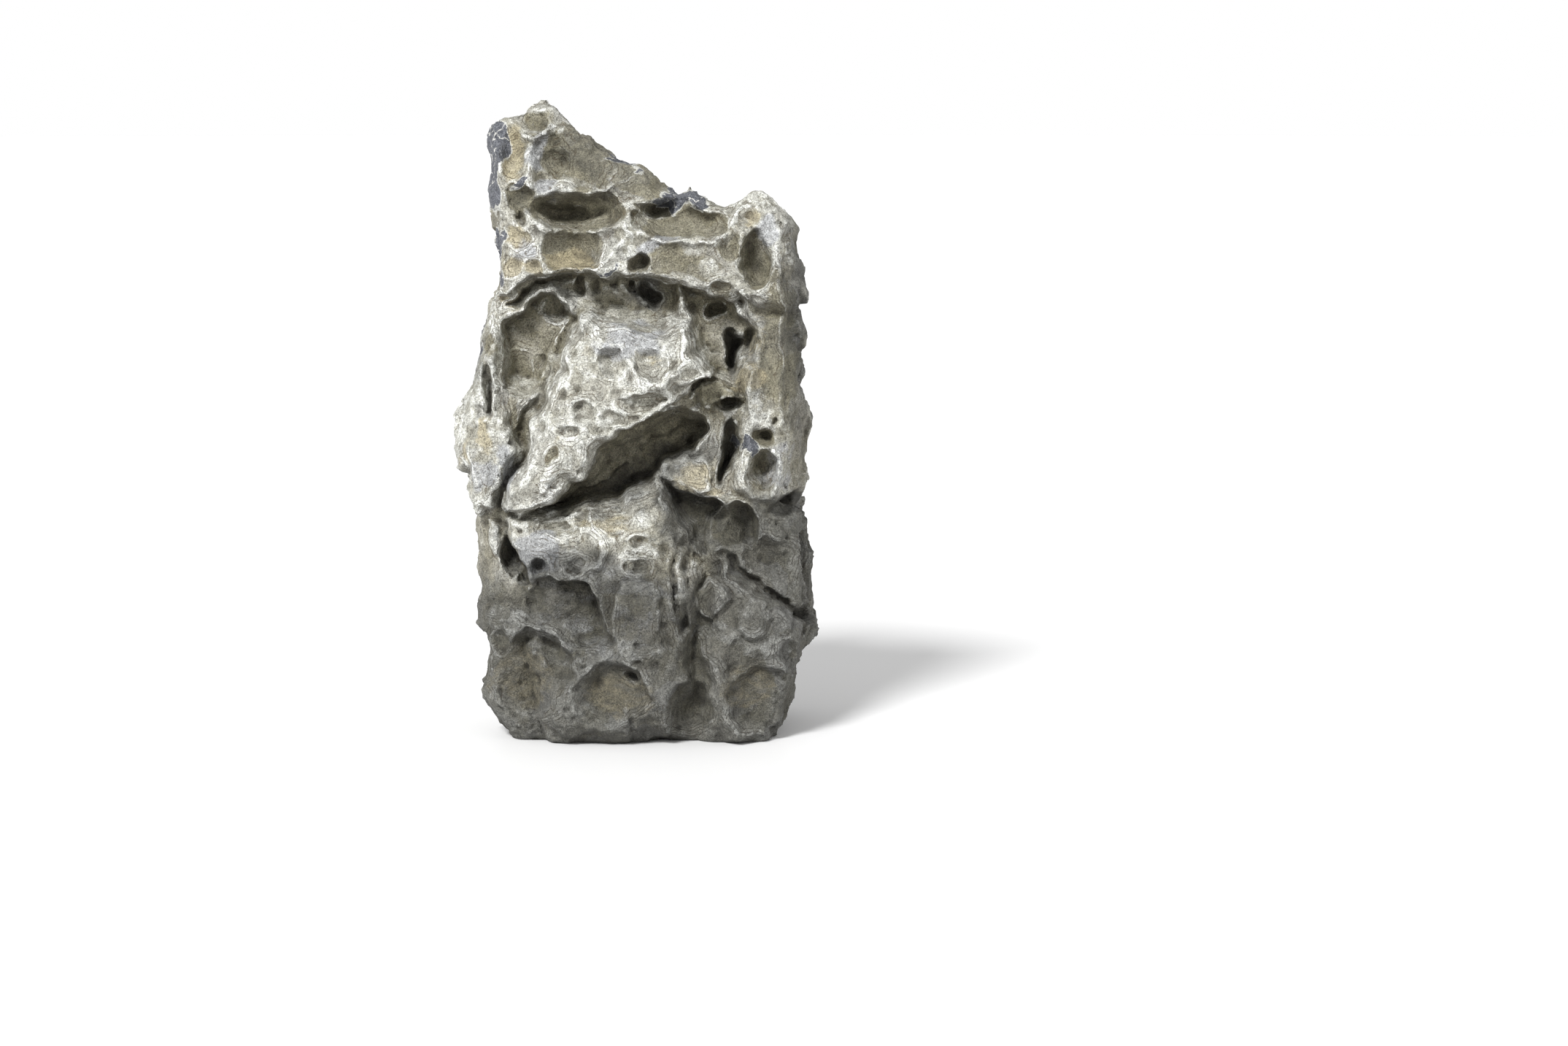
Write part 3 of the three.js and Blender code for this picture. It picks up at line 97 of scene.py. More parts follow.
@dataclass(frozen=True)
class StoneFinish:
    """Colours, roughness and bump of the weathered limestone; the bump is worked out in millimetres."""

    grey: Colour = (0.34, 0.325, 0.27, 1.0)
    warm_grey: Colour = (0.235, 0.220, 0.165, 1.0)
    pale: Colour = (0.61, 0.61, 0.56, 1.0)
    crest: Colour = (0.86, 0.87, 0.83, 1.0)
    # The painted shade in creases, hollows and undersides darkens towards this colour; the dark specks
    # use it too
    hollow: Colour = (0.055, 0.048, 0.032, 1.0)
    olive: Colour = (0.200, 0.184, 0.122, 1.0)
    ochre: Colour = (0.42, 0.365, 0.235, 1.0)
    slate: Colour = (0.070, 0.075, 0.088, 1.0)
    slate_light: Colour = (0.36, 0.37, 0.40, 1.0)
    blue: Colour = (0.40, 0.412, 0.435, 1.0)
    # The colour that the painted shade greys towards
    shade: Colour = (0.092, 0.095, 0.092, 1.0)
    line: Colour = (0.115, 0.085, 0.045, 1.0)
    vein: Colour = (0.78, 0.77, 0.72, 1.0)
    olive_share: float = 0.8
    pale_share: float = 0.85
    bright_share: float = 0.6
    ochre_share: float = 0.68
    blue_share: float = 0.7
    # How far the painted shade in creases, hollows and undersides goes
    hollow_share: float = 0.7
    line_share: float = 0.7
    panel_share: float = 0.3
    spot_share: float = 0.35
    streak_share: float = 0.5
    vein_share: float = 0.8
    slate_rim_share: float = 0.55
    # How much the painted shade dims the colour
    painted_shade_dimming: float = 0.52
    roughness: float = 0.80
    roughness_spread: float = 0.25
    slate_roughness: float = 0.55
    ior: float = 1.48
    bump_depth: float = 0.0011


@dataclass(frozen=True)
class FloorFinish:
    """The pale, slightly glossy floor."""

    colour: Colour = (0.96, 0.96, 0.96, 1.0)
    roughness: float = 0.55


class Value:
    """A number that a node tree works out, with Python's arithmetic adding Math nodes."""

    def __init__(self, graph: "Graph", socket: bpy.types.NodeSocket) -> None:
        """Wraps an output socket of a graph."""
        self.graph = graph
        self.socket = socket

    def _maths(self, operation: str, first: Operand, second: Operand) -> "Value":
        """Adds one Math node and gives its result."""
        return self.graph.node("ShaderNodeMath", {"operation": operation}, {0: first, 1: second}).value()

    def __add__(self, other: Operand) -> "Value":
        """Sum."""
        return self._maths("ADD", self, other)

    __radd__ = __add__

    def __sub__(self, other: Operand) -> "Value":
        """Difference."""
        return self._maths("SUBTRACT", self, other)

    def __rsub__(self, other: Operand) -> "Value":
        """Reflected difference."""
        return self._maths("SUBTRACT", other, self)

    def __mul__(self, other: Operand) -> "Value":
        """Product."""
        return self._maths("MULTIPLY", self, other)

    __rmul__ = __mul__

    def __truediv__(self, other: Operand) -> "Value":
        """Quotient."""
        return self._maths("DIVIDE", self, other)

    def __rtruediv__(self, other: Operand) -> "Value":
        """Reflected quotient."""
        return self._maths("DIVIDE", other, self)

    def __abs__(self) -> "Value":
        """Size without sign."""
        return self._maths("ABSOLUTE", self, 0.0)

    def most(self, other: Operand) -> "Value":
        """The larger of two."""
        return self._maths("MAXIMUM", self, other)

    def spread(self, reach: float) -> "Value":
        """A soft random number moved to lie about 0 and stretched by reach."""
        return (self - 0.5) * reach

    def ramp(self, start: float, end: float) -> "Value":
        """Rises smoothly, or falls where end is below start.

        Args:
            start: Where the result is 0.
            end: Where the result is 1.

        Returns:
            The share between the two.
        """
        settings = {"interpolation_type": "SMOOTHSTEP"}
        low, high, first, last = (start, end, 0.0, 1.0) if start < end else (end, start, 1.0, 0.0)
        inputs = {"Value": self, "From Min": low, "From Max": high, "To Min": first, "To Max": last}
        return self.graph.node("ShaderNodeMapRange", settings, inputs).value()


class Made:
    """A node that a graph has made."""

    def __init__(self, graph: "Graph", node: bpy.types.Node) -> None:
        """Wraps a node of a graph."""
        self.graph = graph
        self.node = node

    def value(self, name: str | int = 0) -> Value:
        """The named or numbered output."""
        return Value(self.graph, self.node.outputs[name])


class Graph:
    """A node tree that is filled from Python expressions."""

    def __init__(self, tree: bpy.types.NodeTree) -> None:
        """Empties the tree and keeps it."""
        self.tree = tree
        tree.nodes.clear()

    def node(self, kind: str, settings: dict | None = None, inputs: dict | None = None) -> Made:
        """Makes a node.

        Args:
            kind: Its type.
            settings: Its properties, set first.
            inputs: Values or links, by the socket's name or number.

        Returns:
            The wrapped node.
        """
        made = self.tree.nodes.new(kind)
        for name, setting in (settings or {}).items():
            setattr(made, name, setting)
        for name, given in (inputs or {}).items():
            if isinstance(given, Value):
                self.tree.links.new(given.socket, made.inputs[name])
            else:
                made.inputs[name].default_value = given
        return Made(self, made)

    def noise(self, place: Value, size: Operand, detail: float = 3.0, roughness: float = 0.55) -> Value:
        """A soft random number about 0.5 that changes over size units of place."""
        inputs = {"Vector": place, "Scale": 1.0 / size, "Detail": detail, "Roughness": roughness}
        return self.node("ShaderNodeTexNoise", None, inputs).value(0)

    def cells(self, place: Value, size: Operand, feature: str = "F1") -> Made:
        """Scattered cells about size units across."""
        inputs = {"Vector": place, "Scale": 1.0 / size}
        return self.node("ShaderNodeTexVoronoi", {"feature": feature}, inputs)

    def part(self, place: Value, axis: str) -> Value:
        """One of the three numbers of a place or a colour."""
        return self.node("ShaderNodeSeparateXYZ", None, {0: place}).value(axis)

    def vector(self, operation: str, inputs: dict) -> Value:
        """One Vector Math node."""
        return self.node("ShaderNodeVectorMath", {"operation": operation}, inputs).value("Vector")

    def stretch(self, place: Value, factors: Triple) -> Value:
        """Scales a place by a factor along each axis."""
        return self.vector("MULTIPLY", {0: place, 1: factors})

    def turned(self, place: Value, angles: Triple) -> Value:
        """Turns a place about the axes by angles in radians."""
        inputs = {"Vector": place, "Rotation": angles}
        return self.node("ShaderNodeVectorRotate", {"rotation_type": "EULER_XYZ"}, inputs).value()

    def stir(self, place: Value, size: float, reach: float) -> Value:
        """Pushes a place about by a coloured noise.

        Args:
            place: The place to push.
            size: How far it is until the push changes.
            reach: How far it is pushed.

        Returns:
            The pushed place.
        """
        inputs = {"Vector": place, "Scale": 1.0 / size, "Detail": 2.0}
        push = self.node("ShaderNodeTexNoise", None, inputs).value("Color")
        centred = self.vector("SUBTRACT", {0: push, 1: (0.5, 0.5, 0.5)})
        scaled = self.vector("MULTIPLY", {0: centred, 1: (2 * reach, 2 * reach, 2 * reach)})
        return self.vector("ADD", {0: place, 1: scaled})

    def facets(self, place: Value, size: Operand) -> Value:
        """Flat chips that tilt every way.

        Args:
            place: The place on the chips.
            size: How wide they are.

        Returns:
            How high the place lies over its own chip's level.
        """
        chips = self.cells(place, size)
        off = self.vector("SUBTRACT", {0: place, 1: chips.value("Position")})
        lean = self.vector("SUBTRACT", {0: chips.value("Color"), 1: (0.5, 0.5, 0.5)})
        dot = self.node("ShaderNodeVectorMath", {"operation": "DOT_PRODUCT"}, {0: off, 1: lean})
        return dot.value("Value")

    def blend(self, share: Operand, first: Paint, second: Paint) -> Value:
        """Mixes two colours.

        Args:
            share: The share of the second.
            first: The first colour.
            second: The second colour.

        Returns:
            The mixed colour.
        """
        settings = {"data_type": "RGBA", "clamp_factor": True}
        mixer = self.node("ShaderNodeMix", settings, {0: share, 6: first, 7: second})
        return mixer.value(2)

    def attribute(self, name: str) -> Value:
        """A number stored on the mesh, read by a material."""
        return self.node("ShaderNodeAttribute", {"attribute_name": name}).value("Fac")


# A place this far from any rim shows none of it
FAR_FROM_RIM = 8.0

# A raised block's rim lies this share up its slope; one with a slope as wide as SOFT_SLOPE has none
RIM_SHARE = 0.85
SOFT_SLOPE = 7.5

# How far a form's tone fades across the form's edge
TONE_FADE = 3.5

# How the fine cut lines and scratches slant across the stone, in radians about each axis
SLANT = (0.3, 0.6, 0.0)


def placed(name: str, data: bpy.types.ID) -> bpy.types.Object:
    """Makes an object of a mesh, lamp or camera and puts it in the scene.

    Args:
        name: The object's name.
        data: The mesh, lamp or camera.

    Returns:
        The object.
    """
    made = bpy.data.objects.new(name, data)
    bpy.context.scene.collection.objects.link(made)
    return made


def smooth_max(first: Array, second: Array, radius: float) -> Array:
    """The larger of two fields, rounded where they meet."""
    overlap = np.maximum(radius - np.abs(first - second), 0.0) / radius
    return np.maximum(first, second) + overlap * overlap * radius * 0.25


def fade(value: Array, start: float, end: float) -> Array:
    """Rises evenly from 0 at start to 1 at end."""
    return np.clip((value - start) / (end - start), 0.0, 1.0)


def blurred(grid: Array, axis: int, steps: int) -> Array:
    """Averages a grid along one axis.

    Args:
        grid: The values.
        axis: The axis to average along.
        steps: How many neighbours to take on each side.

    Returns:
        The averages.
    """
    spare = [(0, 0)] * 3
    spare[axis] = (steps + 1, steps)
    total = np.cumsum(np.pad(grid, spare, mode="edge"), axis=axis, dtype=np.float64)
    size = grid.shape[axis]
    last = np.take(total, np.arange(2 * steps + 1, size + 2 * steps + 1), axis=axis)
    first = np.take(total, np.arange(size), axis=axis)
    return ((last - first) / (2 * steps + 1)).astype(np.float32)


def segment_distance(x: Array, z: Array, start: tuple, end: tuple) -> tuple[Array, Array, Array]:
    """Measures places against a straight segment.

    Args:
        x: First coordinates.
        z: Second coordinates.
        start: The segment's first point.
        end: The segment's last point.

    Returns:
        The squared distance, the share along the segment of the nearest point, and the side.
    """
    run, rise = end[0] - start[0], end[1] - start[1]
    share = ((x - start[0]) * run + (z - start[1]) * rise) / max(run * run + rise * rise, TINY)
    share = np.clip(share, 0.0, 1.0)
    off_x = x - start[0] - share * run
    off_z = z - start[1] - share * rise
    side = np.where(run * off_z - rise * off_x >= 0.0, 1.0, -1.0)
    return off_x * off_x + off_z * off_z, share, side


def outline_distance(x: Array, z: Array, points: tuple) -> tuple[Array, Array]:
    """Signed distance to a closed outline, negative inside.

    Args:
        x: First coordinates.
        z: Second coordinates.
        points: The outline's points, whose third value, if any, is a width.

    Returns:
        The distance, and the width between the nearest points.
    """
    nearest = np.full(x.shape, np.inf)
    width = np.ones(x.shape)
    inside = np.zeros(x.shape, bool)
    for start, end in zip(points, points[1:] + points[:1]):
        square, share, _ = segment_distance(x, z, start, end)
        closer = square < nearest
        nearest = np.where(closer, square, nearest)
        if len(start) > 2:
            width = np.where(closer, start[2] + (end[2] - start[2]) * share, width)
        if start[1] != end[1]:
            crosses = (start[1] <= z) != (end[1] <= z)
            at = start[0] + (z - start[1]) / (end[1] - start[1]) * (end[0] - start[0])
            inside ^= crosses & (x < at)
    distance = np.sqrt(nearest)
    return np.where(inside, -distance, distance), width


def box_round(points: tuple, spare: float) -> Box:
    """The box round some points, widened by spare."""
    xs, zs, *_ = zip(*points)
    return min(xs) - spare, max(xs) + spare, min(zs) - spare, max(zs) + spare


@dataclass(frozen=True)
class Form(ABC):
    """One form of the stone's relief, which raises or sinks the surface within its own reach.

    Its methods take the first and second coordinates of places, x and z on the face.
    """

    name: str

    @abstractmethod
    def reach(self) -> Box:
        """The lowest and highest first coordinate, then the lowest and highest second one."""

    @abstractmethod
    def change(self, x: Array, z: Array) -> Array:
        """How much higher the surface is made at each place."""

    @abstractmethod
    def outside(self, x: Array, z: Array) -> Array:
        """How far each place lies outside the form, below 0 inside it."""

    def from_rim(self, x: Array, z: Array) -> Array:
        """How far each place lies from the line of the form's pale rim, below 0 on its inner side."""
        return self.outside(x, z)

    def near(self, x: Array, z: Array, spare: float = 0.0) -> Array:
        """Whether each place lies within the form's reach, widened by spare.

        Args:
            x: First coordinates.
            z: Second coordinates.
            spare: How much wider.

        Returns:
            True where the place lies within.
        """
        left, right, low, high = self.reach()
        across = (x > left - spare) & (x < right + spare)
        return across & (z > low - spare) & (z < high + spare)

    def carve(self, x: Array, z: Array, height: Array) -> None:
        """Adds the form's change to the heights inside its reach."""
        near = self.near(x, z)
        height[near] += self.change(x[near], z[near])


@dataclass(frozen=True)
class Boss(Form):
    """A raised block. A point's third value is how far in its edge slopes; lean tilts its top."""

    height: float
    points: tuple
    lean: Pair = (0.0, 0.0)
    curve: float = 2.0
    tone: Tone | None = None

    def reach(self) -> Box:
        """The outline's own box."""
        return box_round(self.points, 0.0)

    def change(self, x: Array, z: Array) -> Array:
        """Rises from the outline inwards.

        Args:
            x: First coordinates.
            z: Second coordinates.

        Returns:
            The changes of height.
        """
        distance, width = outline_distance(x, z, self.points)
        rise = 1.0 - (1.0 - np.clip(-distance / width, 0.0, 1.0)) ** self.curve
        middle_x, middle_z, _ = (sum(part) / len(part) for part in zip(*self.points))
        return rise * (self.height + self.lean[0] * (x - middle_x) + self.lean[1] * (z - middle_z))

    def outside(self, x: Array, z: Array) -> Array:
        """The distance from the outline."""
        return outline_distance(x, z, self.points)[0]

    def from_rim(self, x: Array, z: Array) -> Array:
        """The rim tops a raised block's slope and edges a sunken one; long slopes have none.

        Args:
            x: First coordinates.
            z: Second coordinates.

        Returns:
            The distances from the rim.
        """
        distance, width = outline_distance(x, z, self.points)
        inset = RIM_SHARE * width if self.height > 0.0 else 0.0
        return np.where(width < SOFT_SLOPE, distance + inset, FAR_FROM_RIM)


@dataclass(frozen=True)
class Dish(Form):
    """A sunken bowl with a crisp rim. Deep is its deepest point, in radii from the middle."""

    middle: Pair
    radii: Pair
    depth: float
    turn: float = 0.0
    deep: Pair = (0.0, 0.0)
    tone: Tone | None = None

    def reach(self) -> Box:
        """A square as wide as the larger radius."""
        return box_round((self.middle,), max(self.radii))

    def own(self, x: Array, z: Array) -> tuple[Array, Array]:
        """The places in radii from the middle, along the dish's own axes.

        Args:
            x: First coordinates.
            z: Second coordinates.

        Returns:
            The places along both axes.
        """
        cos, sin = math.cos(math.radians(self.turn)), math.sin(math.radians(self.turn))
        across, up = x - self.middle[0], z - self.middle[1]
        return (across * cos + up * sin) / self.radii[0], (up * cos - across * sin) / self.radii[1]

    def outside(self, x: Array, z: Array) -> Array:
        """The distance from the rim, near enough."""
        return (np.hypot(*self.own(x, z)) - 1.0) * min(self.radii)

    def change(self, x: Array, z: Array) -> Array:
        """Sinks towards the deepest point.

        Args:
            x: First coordinates.
            z: Second coordinates.

        Returns:
            The changes of height.
        """
        u, v = self.own(x, z)
        u, v = u - self.deep[0], v - self.deep[1]
        square = u * u + v * v + TINY
        lean = self.deep[0] * u + self.deep[1] * v
        room = 1.0 - self.deep[0] ** 2 - self.deep[1] ** 2
        to_rim = (np.sqrt(np.maximum(lean * lean + square * room, 0.0)) - lean) / square
        return -self.depth * (1.0 - 1.0 / np.maximum(to_rim, 1.0) ** 2)


@dataclass(frozen=True)
class Line(Form):
    """A crest or a groove along points of (x, z, half width, height)."""

    points: tuple
    left: float = 1.0
    right: float = 1.0
    curve: float = 1.5
    tone: Tone | None = None

    def reach(self) -> Box:
        """The points' box, widened by the widest half width."""
        widest = max(point[2] for point in self.points)
        return box_round(self.points, widest * max(self.left, self.right))

    def measure(self, x: Array, z: Array) -> tuple[Array, Array, Array, Array]:
        """Measures places against the line.

        Args:
            x: First coordinates.
            z: Second coordinates.

        Returns:
            The distance, the side, and the half width and the height of the nearest part.
        """
        nearest = np.full(x.shape, np.inf)
        sides, width, height = np.ones(x.shape), np.ones(x.shape), np.zeros(x.shape)
        for start, end in zip(self.points, self.points[1:]):
            square, share, side = segment_distance(x, z, start, end)
            closer = square < nearest
            nearest = np.where(closer, square, nearest)
            sides = np.where(closer, side, sides)
            scale = np.where(side > 0.0, self.left, self.right)
            width = np.where(closer, (start[2] + (end[2] - start[2]) * share) * scale, width)
            height = np.where(closer, start[3] + (end[3] - start[3]) * share, height)
        return np.sqrt(nearest), sides, width, height

    def change(self, x: Array, z: Array) -> Array:
        """Falls off to both sides of the line."""
        distance, _, width, height = self.measure(x, z)
        return height * np.clip(1.0 - distance / width, 0.0, 1.0) ** self.curve

    def outside(self, x: Array, z: Array) -> Array:
        """The distance from the edges of the crest or groove."""
        distance, _, width, _ = self.measure(x, z)
        return distance - width

    def from_rim(self, x: Array, z: Array) -> Array:
        """The rim of a crest is its line, that of a groove its edges."""
        distance, side, width, height = self.measure(x, z)
        return np.where(height > 0.0, distance * side, distance - width)


# The silhouette seen from the front, clockwise from the left summit
OUTLINE = (
    (-57, 293), (-50, 294), (-46, 297), (-43, 299.5), (-40, 300), (-37, 299), (-34, 297), (-31, 293.5),
    (-24, 286), (-16, 280), (-8, 276), (-5, 273.5), (0, 272), (3, 272), (6, 270.5), (12, 265),
    (14, 262.5), (20, 258.5), (23, 257), (26, 258), (28.5, 259.5), (31, 258.5), (37, 255), (39, 252.5),
    (41, 250.5), (45, 250), (51, 252.5), (56, 257.5), (59, 259), (63, 259.5), (66, 258.5), (69, 255),
    (74, 250), (77, 246.5), (79.5, 240), (78, 234), (80, 228), (82.5, 226), (84, 222), (83, 216),
    (84.5, 209.5), (83.5, 207), (80, 206.5), (77, 200.5), (79, 198), (81, 194), (83.8, 189), (83, 184),
    (80, 180), (82.5, 175), (82.8, 171), (79, 163), (79, 161), (83, 157), (85.5, 151), (84.5, 144),
    (84, 130), (86, 118), (83, 108), (84, 96), (86, 84), (85, 72), (87, 60), (87, 49), (83, 38),
    (80, 30), (79, 20), (74, 10), (70, 2), (70, -8), (-60, -8), (-60, 2), (-66, 10), (-71, 19),
    (-72, 28), (-69, 38), (-70, 47), (-74, 56), (-74, 64), (-71, 72), (-73, 80), (-72, 88), (-74, 101),
    (-73, 110), (-78, 120), (-82, 132), (-85, 143), (-85, 149), (-84, 152), (-79, 162), (-76, 172),
    (-75, 184), (-73.5, 194), (-70, 201), (-70.3, 209), (-66.5, 215), (-64, 223), (-63.5, 229),
    (-66, 241), (-67, 250), (-68.5, 256), (-69, 259.5), (-68, 270), (-68, 281), (-66.5, 286),
    (-65, 288.5), (-59, 292.5),
)
